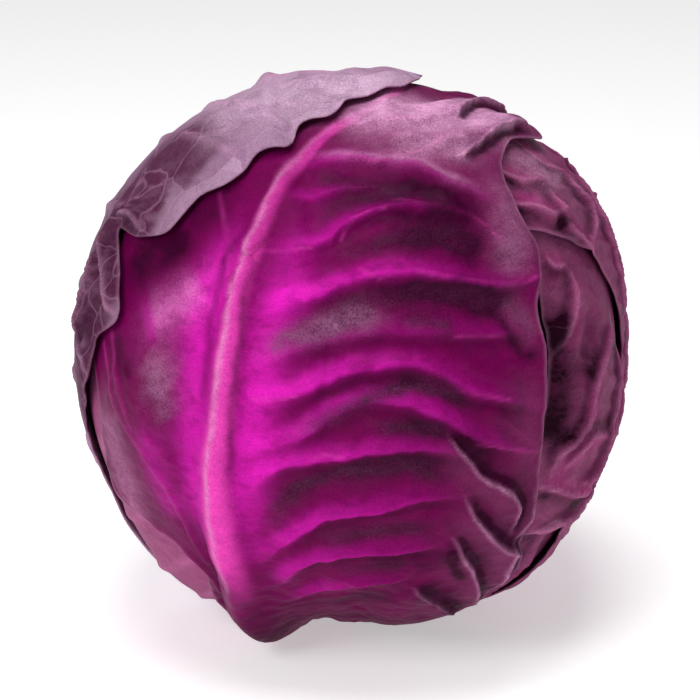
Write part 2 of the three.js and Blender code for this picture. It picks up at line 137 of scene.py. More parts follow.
def spline(points: np.ndarray, share: np.ndarray) -> np.ndarray:
    """A centripetal Catmull-Rom curve through points.

    Args:
        points: the points that it passes, one a row.
        share: where to read it, 0 at the first point and 1 at the last, with equal shares between points.

    Returns:
        One point for each share.
    """
    ends = np.vstack([2 * points[0] - points[1], points, 2 * points[-1] - points[-2]])
    at = np.clip(share, 0, 1) * (len(points) - 1)
    low = np.minimum(at.astype(int), len(points) - 2)
    w = (at - low)[:, None]
    p0, p1, p2, p3 = (ends[low + k] for k in range(4))
    d0, d1, d2 = (np.sqrt(np.linalg.norm(b - a, axis=1))[:, None] for a, b in ((p0, p1), (p1, p2), (p2, p3)))
    d1 = np.where(d1 < 1e-4, 1.0, d1)
    d0 = np.where(d0 < 1e-4, d1, d0)
    d2 = np.where(d2 < 1e-4, d1, d2)
    t1 = ((p1 - p0) / d0 - (p2 - p0) / (d0 + d1) + (p2 - p1) / d1) * d1
    t2 = ((p2 - p1) / d1 - (p3 - p1) / (d1 + d2) + (p3 - p2) / d2) * d1
    return p1 + w * (t1 + w * (-3 * p1 + 3 * p2 - 2 * t1 - t2 + w * (2 * p1 - 2 * p2 + t1 + t2)))


def noise(points: np.ndarray, seed: int) -> np.ndarray:
    """Smooth gradient noise, about -1 to 1, the same on every run.

    Args:
        points: one point a row; the bumps are about one unit apart.
        seed: another seed gives another pattern.

    Returns:
        One value for each point.
    """
    base = np.floor(points)
    near = points - base
    w = near * near * near * (near * (near * 6 - 15) + 10)
    keys = np.array([[127.1, 311.7, 74.7], [269.5, 183.3, 246.1], [113.5, 271.9, 124.6]])
    total = np.zeros(len(points))
    for corner in itertools.product((0, 1), repeat=3):
        cell = base + corner
        slope = np.modf(np.sin(cell @ keys.T + seed * 17.23) * 43758.5453)[0]
        weight = np.prod(np.where(np.array(corner) == 1, w, 1 - w), axis=1)
        total += weight * np.sum(slope * (near - corner), axis=1)
    return 1.6 * total


def octaves(points: np.ndarray, seed: int, count: int, ridged: bool = False) -> np.ndarray:
    """Noise at finer and finer sizes, added up.

    Args:
        points: one point a row.
        seed: another seed gives another pattern.
        count: how many sizes.
        ridged: whether each size is folded into sharp crests.

    Returns:
        One value for each point, about -1 to 1.
    """
    total = np.zeros(len(points))
    reach = 0.0
    for k in range(count):
        level = noise(points * 2.03**k, seed + 7 * k)
        share = 0.5**k
        total += share * ((1 - 2 * np.abs(level)) if ridged else level)
        reach += share
    return total / reach


def stirred(d: np.ndarray, seed: int) -> np.ndarray:
    """Directions pushed about a little, so that what is laid along smooth lines comes out uneven."""
    pushed = d.copy()
    for size, reach in ((9.0, 1.1), (3.5, 0.5)):
        for axis in range(3):
            pushed[:, axis] += reach / MIDDLE_HEIGHT * octaves(d * MIDDLE_HEIGHT / size, seed + 5 * axis, 2)
    return unit(pushed)


class HeadCurve:
    """A smooth curve laid on the head, through places."""

    def __init__(self, places: tuple[Place, ...], per_span: int = 6) -> None:
        """Lay the curve.

        Args:
            places: the places that it passes.
            per_span: how many straight pieces stand for each stretch between places.
        """
        count = (len(places) - 1) * per_span
        points = np.array([direction(p) for p in places])
        self.samples = unit(spline(points, np.arange(count + 1) / count))
        self.centre = unit(self.samples.mean(axis=0))
        self.spread = float(np.arccos(np.clip(self.samples @ self.centre, -1, 1)).max())

    def nearest(self, d: np.ndarray, reach: float) -> tuple[np.ndarray, np.ndarray, np.ndarray, np.ndarray]:
        """Find the nearest place on the curve for the directions near it.

        Args:
            d: directions, one a row.
            reach: how far from the curve still counts, in mm.

        Returns:
            The rows of d that are near, how far each is from the curve, on which side (1 is left of the
            way along), and how far along the curve its nearest place is, from 0 to 1.
        """
        rows = np.flatnonzero(d @ self.centre > math.cos(min(math.pi, self.spread + reach / MIDDLE_HEIGHT)))
        p = d[rows]
        least = np.full(len(rows), np.inf)
        side = np.ones(len(rows))
        along = np.zeros(len(rows))
        last = len(self.samples) - 1
        for i in range(last):
            a = self.samples[i]
            span = self.samples[i + 1] - a
            share = np.clip((p - a) @ span / (span @ span), 0, 1)
            off = p - a - share[:, None] * span
            distance = np.linalg.norm(off, axis=1) * MIDDLE_HEIGHT
            better = distance < least
            least[better] = distance[better]
            side[better] = np.where(off[better] @ np.cross(a, span) < 0, -1, 1)
            along[better] = (i + share[better]) / last
        close = least < reach
        return rows[close], least[close], side[close], along[close]


def ramp(values: tuple[float, ...], along: np.ndarray) -> np.ndarray:
    """A value that changes evenly from each of the values to the next, along a way."""
    return np.interp(along, np.linspace(0, 1, len(values)), values)


@dataclass(frozen=True)
class Pleat:
    """A ridge that swells from nothing at its start and fades at its end.

    Attributes:
        places: the places along its crest.
        height: how far the crest stands up, in mm; below 0 it is a hollow.
        width: half of its width, in mm.
        steep: how much narrower it is on its right side than on its left.
        crisp: how sharp its crest is, from 0 to 1.
    """

    places: tuple[Place, ...]
    height: float
    width: float
    steep: float = 1.0
    crisp: float = 0.0

    def add_to(self, d: np.ndarray, out: np.ndarray) -> None:
        """Add its height to out, for each direction."""
        rows, distance, side, along = HeadCurve(self.places).nearest(d, 3.2 * self.width)
        swell = np.sqrt(np.maximum(0, np.sin(math.pi * np.clip(along, 0.02, 0.98))))
        share = distance / np.where(side > 0, self.width, self.width / self.steep)
        profile = (1 - self.crisp) * np.exp(-share * share) + self.crisp * np.exp(-1.5 * share)
        out[rows] += self.height * swell * profile


@dataclass(frozen=True)
class Lap:
    """A fold where the leaf lies over itself: it rises to a rim and drops off past it.

    Attributes:
        places: the places along the rim, with the flap to the left.
        height: how far the rim stands up, in mm.
        reach: how far back the flap rises, in mm.
        drop: how far past the rim it falls away, in mm.
    """

    places: tuple[Place, ...]
    height: float
    reach: float
    drop: float = LAP_DROP

    def add_to(self, d: np.ndarray, out: np.ndarray) -> None:
        """Add its height to out, for each direction."""
        rows, distance, side, along = HeadCurve(self.places).nearest(d, 4 * self.reach)
        ends = np.minimum(1, np.minimum(along / LAP_START, (1 - along) / LAP_END))
        width = np.where(side > 0, self.reach, self.drop)
        out[rows] += self.height * np.maximum(0, ends) * np.exp(-distance / width)


class Tint(Enum):
    """What a stroke changes in a leaf."""

    GLOW = "glow"  # bright magenta: the leaf's own colour, and painted light on the upper flanks of ridges and creases
    SHADE = "shade"  # deep purple: the leaf's own deep colour, and painted shade in valleys, hollows, gaps, under laps and folds and at the foot
    BLOOM = "bloom"  # grey waxy bloom
    DUSK = "dusk"  # dull rose
    PALE = "pale"  # light lines and patches: painted highlights on crests and fold rims, and paler patches
    CRUMPLE = "crumple"  # how strongly it is crumpled


@dataclass(frozen=True)
class Stroke:
    """A soft stroke of colour along places.

    Attributes:
        tint: what it changes.
        places: where it runs.
        width: half of its width, in mm.
        amount: how strong it is.
        shares: what share of that it has at even steps along it.
        shift: how far to the left of the way along it lies, in mm.
    """

    tint: Tint
    places: tuple[Place, ...]
    width: float
    amount: float
    shares: tuple[float, ...] = (1.0,)
    shift: float = 0.0

    def add_to(self, d: np.ndarray, out: np.ndarray) -> None:
        """Add its strength to out, for each direction."""
        reach = 2.8 * self.width + abs(self.shift)
        rows, distance, side, along = HeadCurve(self.places).nearest(d, reach)
        ends = smoothstep(np.minimum(along, 1 - along), -0.06, 0.2)
        off = (distance * side - self.shift) / self.width
        out[rows] += self.amount * ramp(self.shares, along) * ends * np.exp(-off * off)


@dataclass(frozen=True)
class RibLine:
    """A rib that the leaf raises along places.

    Attributes:
        places: the places along it.
        height: how high it is at even steps along it, in mm.
        width: half of its width at even steps along it, in mm.
        vein: how pale it is drawn, from 0 to 1.
    """

    places: tuple[Place, ...]
    height: tuple[float, ...]
    width: tuple[float, ...]
    vein: float = 1.0


def swelling(d: np.ndarray, height: float, phase: float) -> np.ndarray:
    """Soft swellings all over, from a few waves that cross each other."""
    x, y, z = d.T
    across = np.sin(9 * x + 4 * z + phase) * np.sin(8 * z - 3 * y + 2 * phase)
    along = np.sin(11 * y + 5 * x - phase) * np.sin(7 * x - 6 * z + 3 * phase)
    return height * (0.5 + 0.25 * (across + along))


FOOT_HOLLOW = Pleat(((-2, -74), (1, -62), (2, -50), (4, -42)), 5, 9)
SIDE_GAP = Pleat(((42, 22), (43, 8), (44, -6), (44, -18)), 4.5, 7)

# Where the head is fuller or flatter than a ball: the place, the height in mm and its reach in degrees
BULGES = (
    ((92, 3), -5, 26),
    ((100, 70), -3.5, 24),
    ((-90, -3), -2.2, 30),
    ((-79, -54), 4.5, 17),
    ((79, -54), 2.2, 16),
)


def ball_height(d: np.ndarray) -> np.ndarray:
    """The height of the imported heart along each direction, in mm."""
    ball = np.full(len(d), HEART_RADIUS)
    for place, height, reach in BULGES:
        angle = np.arccos(np.clip(d @ direction(place), -1, 1))
        ball += height * np.exp(-((angle / math.radians(reach)) ** 2))
    floor = (MIDDLE_HEIGHT - HEART_FLOOR) / np.maximum(-d[:, 2], STEEPEST)
    return -FLOOR_BLEND * np.log(np.exp(-ball / FLOOR_BLEND) + np.exp(-floor / FLOOR_BLEND))


Station = tuple[Place, Place, Place]


@dataclass
class LeafShape:
    """Where a leaf lies on the head.

    Attributes:
        stations: from the base at the stem to the tip, the west edge, the midrib and the east edge.
        ragged: how far its edges wander in and out, in mm.
        seed: picks the way they wander.
    """

    stations: tuple[Station, ...]
    ragged: float = 0.0
    seed: int = 0

    @cached_property
    def lines(self) -> list[np.ndarray]:
        """The directions down the west edge, the midrib and the east edge."""
        return [np.array([direction(station[k]) for station in self.stations]) for k in range(3)]

    @cached_property
    def outline(self) -> np.ndarray:
        """Directions round the leaf's edge."""
        steps = 4 * (len(self.stations) - 1)
        out = unit(spline(self.lines[0], np.arange(steps + 1) / steps))
        tip = unit(self.lines[1][-1:])
        back = unit(spline(self.lines[2], 1 - np.arange(steps + 1) / steps))
        base = unit(self.lines[1][:1])
        return np.vstack([out, tip, back, base])

    @cached_property
    def axes(self) -> tuple[np.ndarray, np.ndarray, np.ndarray]:
        """The leaf's centre, and the directions east and north of it."""
        centre = unit(spline(self.lines[1], np.array([0.5])))[0]
        east = unit(np.array([-centre[1], centre[0], 0.0]))
        return centre, east, np.cross(centre, east)

    def flatten(self, d: np.ndarray) -> np.ndarray:
        """Distance and bearing from the leaf's centre, as flat points."""
        centre, east, north = self.axes
        flat = np.stack([d @ east, d @ north], axis=1)
        angle = np.arccos(np.clip(d @ centre, -1, 1))
        return flat * (angle / np.maximum(np.linalg.norm(flat, axis=1), 1e-9))[:, None]

    def past(self, d: np.ndarray) -> np.ndarray:
        """How far past the leaf's edge each direction is, in mm, negative inside it."""
        flat = self.flatten(d)
        edge = self.flatten(self.outline)
        inside = np.zeros(len(d), dtype=bool)
        least = np.full(len(d), np.inf)
        x, y = flat.T
        for i in range(len(edge)):
            (xa, ya), (xb, yb) = edge[i], edge[i - 1]
            if ya != yb:
                inside ^= ((ya > y) != (yb > y)) & (x < (xb - xa) * (y - ya) / (yb - ya) + xa)
            a, span = self.outline[i], self.outline[i - 1] - self.outline[i]
            share = np.clip((d - a) @ span / max(float(span @ span), 1e-12), 0, 1)
            least = np.minimum(least, np.linalg.norm(d - a - share[:, None] * span, axis=1))
        return np.where(inside, -least, least) * MIDDLE_HEIGHT

    def cover(self, d: np.ndarray) -> np.ndarray:
        """How much the leaf holds up the ones over it, along each direction."""
        return 1 - smoothstep(self.past(d), EDGE_HOLD, EDGE_RAMP)

    def wander(self, along: np.ndarray, side: int) -> np.ndarray:
        """How far an edge wanders out, in mm, at each share along the leaf."""
        length = 250.0 * along
        points = np.stack([length / 15.0, np.full(len(along), side * 5.3), np.zeros(len(along))], axis=1)
        fine = noise(points * 2.4, self.seed + 3)
        fade = smoothstep(along, 0.0, 0.15)
        return self.ragged * fade * (0.8 * noise(points, self.seed) + 0.35 * fine)

    def wander_grid(self, across: np.ndarray, along: np.ndarray) -> np.ndarray:
        """How far each point of a grid over the leaf is moved out by the wandering of its edges, in mm."""
        west, east = self.wander(along, -1)[:, None], self.wander(along, 1)[:, None]
        return np.where(across < 0, west, east) * np.abs(across)

    def spots(self, across: np.ndarray, along: np.ndarray) -> np.ndarray:
        """Directions on a grid over the leaf.

        Args:
            across: shares from -1 at the west edge to 1 at the east edge.
            along: shares from 0 at the base to 1 at the tip.

        Returns:
            An array of rows by columns by 3.
        """
        west, mid, east = (unit(spline(line, along)) for line in self.lines)
        grid = np.empty((len(along), len(across), 3))
        moved = self.wander_grid(across, along) / MIDDLE_HEIGHT
        for column, share in enumerate(across):
            edge = west if share < 0 else east
            angle = np.arccos(np.clip(np.sum(mid * edge, axis=1), -1, 1))
            reach = abs(share) * angle + moved[:, column]
            sine = np.maximum(np.sin(angle), 1e-9)[:, None]
            near_mid, near_edge = np.sin(angle - reach)[:, None] / sine, np.sin(reach)[:, None] / sine
            grid[:, column] = near_mid * mid + near_edge * edge
        return clear_of_stem(unit(grid))


def clear_of_stem(d: np.ndarray) -> np.ndarray:
    """Move the directions that would run into the stem out to the collar."""
    flat = np.hypot(d[..., 0], d[..., 1])
    off = np.arctan2(flat, -d[..., 2])
    inside = off < COLLAR_ANGLE
    scale = math.sin(COLLAR_ANGLE) / np.maximum(flat[inside], 1e-9)
    moved = d.copy()
    moved[inside, 0] *= scale
    moved[inside, 1] *= scale
    moved[inside, 2] = -math.cos(COLLAR_ANGLE)
    return moved


def lateral_veins(
    shape: LeafShape,
    edge: int,
    rows: tuple[float, ...],
    height: tuple[float, float],
    width: tuple[float, float],
    vein: float = 0.8,
) -> list[RibLine]:
    """The veins that leave a midrib by a rule and climb as they run out to one edge.

    Args:
        shape: the leaf that they are on.
        edge: 0 for the west edge, 2 for the east edge.
        rows: the stations that they leave from.
        height: how high they are at the midrib and at the edge, in mm.
        width: half of their width there, in mm.
        vein: how pale they are drawn.

    Returns:
        One rib for each row.
    """
    last = len(shape.stations) - 1
    made = []
    for row in rows:
        places = []
        for share in (0.02, 0.3, 0.6, 0.93):
            at = min(max(row + VEIN_CLIMB * share * share, 0), last - 0.01)
            low = int(at)
            lines = (shape.lines[1], shape.lines[edge])
            mid, out = (unit((1 - at + low) * line[low] + (at - low) * line[low + 1]) for line in lines)
            places.append(tuple(unit((1 - share) * mid + share * out)))
        made.append(RibLine(tuple(places), height, width, vein))
    return made


@dataclass(frozen=True)
class LeafFinish:
    """A leaf's colours and gloss, and the size of the pattern on it.

    Attributes:
        name: the material's name.
        blade: its plain colour.
        glow: its bright magenta, also painted as light on the lit flanks of ridges and creases.
        shade: its deep purple, also painted as shade in valleys, hollows, gaps and under laps.
        bloom: its waxy bloom.
        dusk: its dull parts.
        rib: its thick ribs.
        rim: its thin edge, its paler patches, and the highlights painted on crests and fold rims.
        net: how much of the net of small veins shows, from 0 to 1.
        net_size: how far apart the net's lines are, in metres.
        creases: how strong its small creases are, in relief and as painted highlight lines.
        crease_size: how far apart they are, in metres.
        veil: how much bloom lies all over it, from 0 to 1.
        roughness: how matte it is.
        relief: how strong the fine relief is.
    """

    name: str
    blade: Colour
    glow: Colour
    shade: Colour
    bloom: Colour
    dusk: Colour
    rib: Colour
    rim: Colour
    net: float
    net_size: float
    creases: float
    crease_size: float
    veil: float
    roughness: float
    relief: float


def linear(red: int, green: int, blue: int) -> Colour:
    """A screen colour of 0 to 255 as the linear colour that a shader reads."""
    shares = (red / 255, green / 255, blue / 255)
    return tuple(c / 12.92 if c <= 10 / 255 else ((c + 0.055) / 1.055) ** 2.4 for c in shares)


MAGENTA = LeafFinish(
    name="magenta leaf",
    blade=linear(106, 3, 72),
    glow=linear(216, 28, 176),
    shade=linear(52, 1, 35),
    bloom=linear(120, 66, 102),
    dusk=linear(112, 42, 84),
    rib=linear(228, 66, 176),
    rim=linear(212, 150, 192),
    net=0.0,
    net_size=0.012,
    creases=0.0,
    crease_size=0.009,
    veil=0.0,
    roughness=0.4,
    relief=0.6,
)
MAUVE = LeafFinish(
    name="mauve leaf",
    blade=linear(122, 80, 114),
    glow=linear(176, 96, 152),
    shade=linear(44, 8, 34),
    bloom=linear(214, 178, 206),
    dusk=linear(82, 36, 64),
    rib=linear(190, 140, 174),
    rim=linear(170, 120, 152),
    net=0.24,
    net_size=0.0135,
    creases=0.06,
    crease_size=0.012,
    veil=0.7,
    roughness=0.5,
    relief=0.9,
)
ROSE = LeafFinish(
    name="rose leaf",
    blade=linear(120, 34, 84),
    glow=linear(168, 56, 122),
    shade=linear(34, 2, 22),
    bloom=linear(162, 110, 142),
    dusk=linear(130, 70, 104),
    rib=linear(186, 100, 150),
    rim=linear(196, 128, 168),
    net=0.05,
    net_size=0.01,
    creases=0.06,
    crease_size=0.011,
    veil=0.24,
    roughness=0.44,
    relief=0.8,
)
# Deep colours for the inner leaf, seen only down in the gap beside the front leaf, and for the heart: their
# darkness is painted shade
DARK = LeafFinish(
    name="deep leaf",
    blade=linear(74, 8, 50),
    glow=linear(120, 26, 88),
    shade=linear(30, 2, 18),
    bloom=linear(110, 70, 100),
    dusk=linear(84, 34, 62),
    rib=linear(130, 54, 98),
    rim=linear(150, 96, 132),
    net=0.12,
    net_size=0.01,
    creases=0.1,
    crease_size=0.01,
    veil=0.1,
    roughness=0.44,
    relief=0.7,
)


class Nodes:
    """A short way to lay nodes in a tree and join them."""

    def __init__(self, tree: bpy.types.NodeTree) -> None:
        """Start on an empty tree."""
        self.tree = tree
        tree.nodes.clear()

    def add(self, kind: str, inputs: dict | None = None, **settings: object) -> bpy.types.Node:
        """Add a node.

        Args:
            kind: the node's type.
            inputs: what goes into its sockets, by name or number: a value, or another node's output socket.
            **settings: the node's own properties.

        Returns:
            The node.
        """
        node = self.tree.nodes.new(kind)
        for key, value in settings.items():
            setattr(node, key, value)
        for key, value in (inputs or {}).items():
            socket = node.inputs[key]
            if isinstance(value, bpy.types.NodeSocket):
                self.tree.links.new(value, socket)
            else:
                socket.default_value = value
        return node

    def math(self, operation: str, *values: object, clamp: bool = False) -> bpy.types.NodeSocket:
        """The result of a Math node on the values."""
        node = self.add("ShaderNodeMath", dict(enumerate(values)), operation=operation, use_clamp=clamp)
        return node.outputs[0]

    def mix(self, share: object, first: object, second: object, blend: str = "MIX") -> bpy.types.NodeSocket:
        """The colour between two colours, or their blend."""
        node = self.add("ShaderNodeMix", data_type="RGBA", blend_type=blend)
        for key, value in ((0, share), (6, first), (7, second)):
            if isinstance(value, bpy.types.NodeSocket):
                self.tree.links.new(value, node.inputs[key])
            else:
                node.inputs[key].default_value = (*value, 1) if isinstance(value, tuple) else value
        return node.outputs[2]

    def attribute(self, name: str) -> bpy.types.NodeSocket:
        """A number kept on the mesh's points."""
        return self.add("ShaderNodeAttribute", attribute_name=name).outputs["Fac"]

    def surface(self, inputs: dict[str, object]) -> None:
        """Finish a material with one plain surface."""
        skin = self.add("ShaderNodeBsdfPrincipled", inputs)
        self.add("ShaderNodeOutputMaterial", {0: skin.outputs[0]})


def group_tree(name: str, inputs: dict[str, float], outputs: tuple[str, ...]) -> bpy.types.NodeTree:
    """Make an empty shader node group whose inputs and outputs are numbers.

    Args:
        name: the group's name.
        inputs: each input's first value, by name.
        outputs: the outputs' names.

    Returns:
        The group's tree.
    """
    tree = bpy.data.node_groups.new(name, "ShaderNodeTree")
    for key, value in inputs.items():
        tree.interface.new_socket(key, in_out="INPUT", socket_type=NUMBER).default_value = value
    for key in outputs:
        tree.interface.new_socket(key, in_out="OUTPUT", socket_type=NUMBER)
    return tree


def mottle_group() -> bpy.types.NodeTree:
    """Cloudy patches, fine streaks, tiny specks and small creases, as masks."""
    tree = group_tree(
        "leaf mottle",
        {"Cloud size": 0.012, "Speck size": 0.0005, "Crease size": 0.012},
        ("Cloud", "Grain", "Streaks", "Creases"),
    )
    n = Nodes(tree)
    source = n.add("NodeGroupInput").outputs
    sink = n.add("NodeGroupOutput")
    place = n.add("ShaderNodeTexCoord").outputs["Object"]
    level = n.add("ShaderNodeVectorMath", {0: place, 1: (1.0, 1.0, 2.2)}, operation="MULTIPLY").outputs[0]
    drawn_out = n.add("ShaderNodeVectorMath", {0: place, 1: (1.0, 1.0, 1.8)}, operation="MULTIPLY").outputs[0]
    noises = (
        ("Cloud", place, source["Cloud size"], 5.0, (0.32, 0.68)),
        ("Grain", place, source["Speck size"], 3.0, (0.36, 0.64)),
        ("Streaks", drawn_out, n.math("MULTIPLY", source["Speck size"], 11.0), 4.0, (0.36, 0.64)),
    )
    for name, at, size, detail, (low, high) in noises:
        scale = n.math("DIVIDE", 1.0, size)
        made = n.add("ShaderNodeTexNoise", {"Vector": at, "Scale": scale, "Detail": detail, "Roughness": 0.6})
        limits = {"Value": made.outputs["Fac"], "From Min": low, "From Max": high}
        spread = n.add("ShaderNodeMapRange", limits)
        tree.links.new(spread.outputs[0], sink.inputs[name])
    scale = n.math("DIVIDE", 1.0, source["Crease size"])
    fold = n.add("ShaderNodeTexNoise", {"Vector": level, "Scale": scale, "Detail": 1.5, "Distortion": 0.15})
    off = n.math("ABSOLUTE", n.math("SUBTRACT", fold.outputs["Fac"], 0.5))
    crease = n.add(
        "ShaderNodeMapRange",
        {"Value": off, "From Max": 0.022, "To Min": 1.0, "To Max": 0.0},
        interpolation_type="SMOOTHSTEP",
    )
    tree.links.new(crease.outputs[0], sink.inputs["Creases"])
    return tree


def net_group() -> bpy.types.NodeTree:
    """The net of small veins in a leaf: lines between cells of two sizes, and each cell's own tone."""
    tree = group_tree("vein net", {"Cell size": 0.012}, ("Lines", "Fine lines", "Pillows", "Cells"))
    n = Nodes(tree)
    source = n.add("NodeGroupInput").outputs
    place = n.add("ShaderNodeTexCoord").outputs["Object"]
    bend = n.add("ShaderNodeTexNoise", {"Vector": place, "Scale": 60.0, "Detail": 2.0})
    middle = (0.5, 0.5, 0.5)
    offset = n.add("ShaderNodeVectorMath", {0: bend.outputs["Color"], 1: middle}, operation="SUBTRACT")
    push = n.add("ShaderNodeVectorMath", {0: offset.outputs[0], "Scale": 0.012}, operation="SCALE")
    bent = n.add("ShaderNodeVectorMath", {0: place, 1: push.outputs[0]}, operation="ADD").outputs[0]
    scale = n.math("DIVIDE", 1.0, source["Cell size"])
    sink = n.add("NodeGroupOutput")
    masks = (("Lines", 1.0, 0.035, 1.0), ("Fine lines", 2.7, 0.07, 1.0), ("Pillows", 1.0, 0.3, 0.0))
    for name, factor, width, at_edge in masks:
        cells = n.add(
            "ShaderNodeTexVoronoi",
            {"Vector": bent, "Scale": n.math("MULTIPLY", scale, factor)},
            feature="DISTANCE_TO_EDGE",
        )
        line = n.add(
            "ShaderNodeMapRange",
            {"Value": cells.outputs["Distance"], "From Max": width, "To Min": at_edge, "To Max": 1 - at_edge},
            interpolation_type="SMOOTHSTEP",
        )
        tree.links.new(line.outputs[0], sink.inputs[name])
    tone = n.add("ShaderNodeTexVoronoi", {"Vector": bent, "Scale": scale}, feature="F1")
    one = n.add("ShaderNodeSeparateColor", {0: tone.outputs["Color"]}).outputs[0]
    tree.links.new(one, sink.inputs["Cells"])
    return tree


@dataclass
class LeafDyer:
    """Makes the leaf materials, with the node groups that they share."""

    mottle: bpy.types.NodeTree = field(default_factory=mottle_group)
    net: bpy.types.NodeTree = field(default_factory=net_group)

    def material(self, finish: LeafFinish) -> bpy.types.Material:
        """Make one leaf material.

        Args:
            finish: its colours, gloss and pattern.

        Returns:
            The material.
        """
        made = bpy.data.materials.new(finish.name)
        made.use_nodes = True
        n = Nodes(made.node_tree)
        mottle_node = n.add("ShaderNodeGroup", node_tree=self.mottle)
        mottle_node.inputs["Crease size"].default_value = finish.crease_size
        mottle = mottle_node.outputs
        net_node = n.add("ShaderNodeGroup", node_tree=self.net)
        net_node.inputs["Cell size"].default_value = finish.net_size
        net = net_node.outputs
        glow, shade, bloom, dusk, rib, rim, vein, pale = (
            n.attribute(name) for name in ("glow", "shade", "bloom", "dusk", "rib", "rim", "vein", "pale")
        )
        cloud, grain, streaks, creases = (mottle[name] for name in ("Cloud", "Grain", "Streaks", "Creases"))
        unrest = n.math("MULTIPLY_ADD", cloud, 0.45, n.math("MULTIPLY_ADD", streaks, 0.35, -0.4))
        grit = n.math("MULTIPLY_ADD", grain, 0.6, n.math("MULTIPLY", streaks, 0.45))

        cells = n.math("MULTIPLY_ADD", net["Cells"], 0.65, n.math("MULTIPLY_ADD", cloud, 0.3, 0.22))
        colour = n.mix(n.math("MULTIPLY", cells, finish.veil), finish.blade, finish.bloom)
        colour = n.mix(n.math("MULTIPLY_ADD", unrest, 0.35, dusk, clamp=True), colour, finish.dusk)
        # Bright magenta: the leaf's own colour, and painted light on the lit flanks of ridges and creases
        lit = n.math("MULTIPLY", glow, n.math("MULTIPLY_ADD", unrest, 0.9, 0.95), clamp=True)
        colour = n.mix(lit, colour, finish.glow)
        colour = n.mix(rib, colour, finish.rib)
        # Painted shade: darker towards the deep colour in valleys, hollows, gaps and under laps
        colour = n.mix(n.math("MULTIPLY_ADD", unrest, 0.9, shade, clamp=True), colour, finish.shade)
        dust = n.math("MULTIPLY", bloom, n.math("MULTIPLY_ADD", grit, 1.3, 0.15), clamp=True)
        colour = n.mix(dust, colour, finish.bloom)
        # How far a place lies outside the painted shade; pale marks and drawn lines are kept out of it
        unshaded = n.math("MULTIPLY_ADD", shade, -0.85, 1.0)
        lines = n.math("MULTIPLY", n.math("MULTIPLY_ADD", net["Fine lines"], 0.12, net["Lines"]), unshaded)
        marked = n.math("MULTIPLY", n.math("MULTIPLY", vein, 0.7), unshaded)
        drawn = n.math("MULTIPLY_ADD", lines, finish.net, marked, clamp=True)
        colour = n.mix(drawn, colour, finish.rib)
        # Painted highlights on crests, fold rims and the small creases, with the leaf's paler patches, mixed
        # in the rim colour
        pale_and_highlit = n.math("MULTIPLY", n.math("MULTIPLY", pale, unshaded), n.math("MULTIPLY_ADD", grit, 0.6, 0.5))
        highlights_and_pale = n.math("MULTIPLY_ADD", creases, n.math("MULTIPLY", cloud, finish.creases), pale_and_highlit, clamp=True)
        colour = n.mix(highlights_and_pale, colour, finish.rim)
        colour = n.mix(rim, colour, finish.rim)
        colour = n.mix(1.0, colour, n.math("MULTIPLY_ADD", grit, 0.45, 0.72), blend="MULTIPLY")

        rough = n.math("MULTIPLY_ADD", bloom, 0.1, n.math("MULTIPLY_ADD", grain, 0.15, finish.roughness))
        height = n.math("MULTIPLY", lines, finish.net * 0.9)
        height = n.math("MULTIPLY_ADD", net["Pillows"], finish.net * 3.0, height)
        height = n.math("MULTIPLY_ADD", cloud, 0.4, height)
        height = n.math("MULTIPLY_ADD", streaks, 0.35, height)
        height = n.math("MULTIPLY_ADD", creases, finish.creases, height)
        height = n.math("MULTIPLY_ADD", grain, 0.06, height)
        bump = n.add("ShaderNodeBump", {"Height": height, "Strength": finish.relief, "Distance": 0.0006})
        n.surface(
            {
                "Base Color": colour,
                "Roughness": rough,
                "Normal": bump.outputs[0],
                "Specular IOR Level": 0.03,
                "Subsurface Weight": 0.05,
                "Subsurface Radius": (0.004, 0.0015, 0.003),
                "Subsurface Scale": 0.5,
            }
        )
        return made


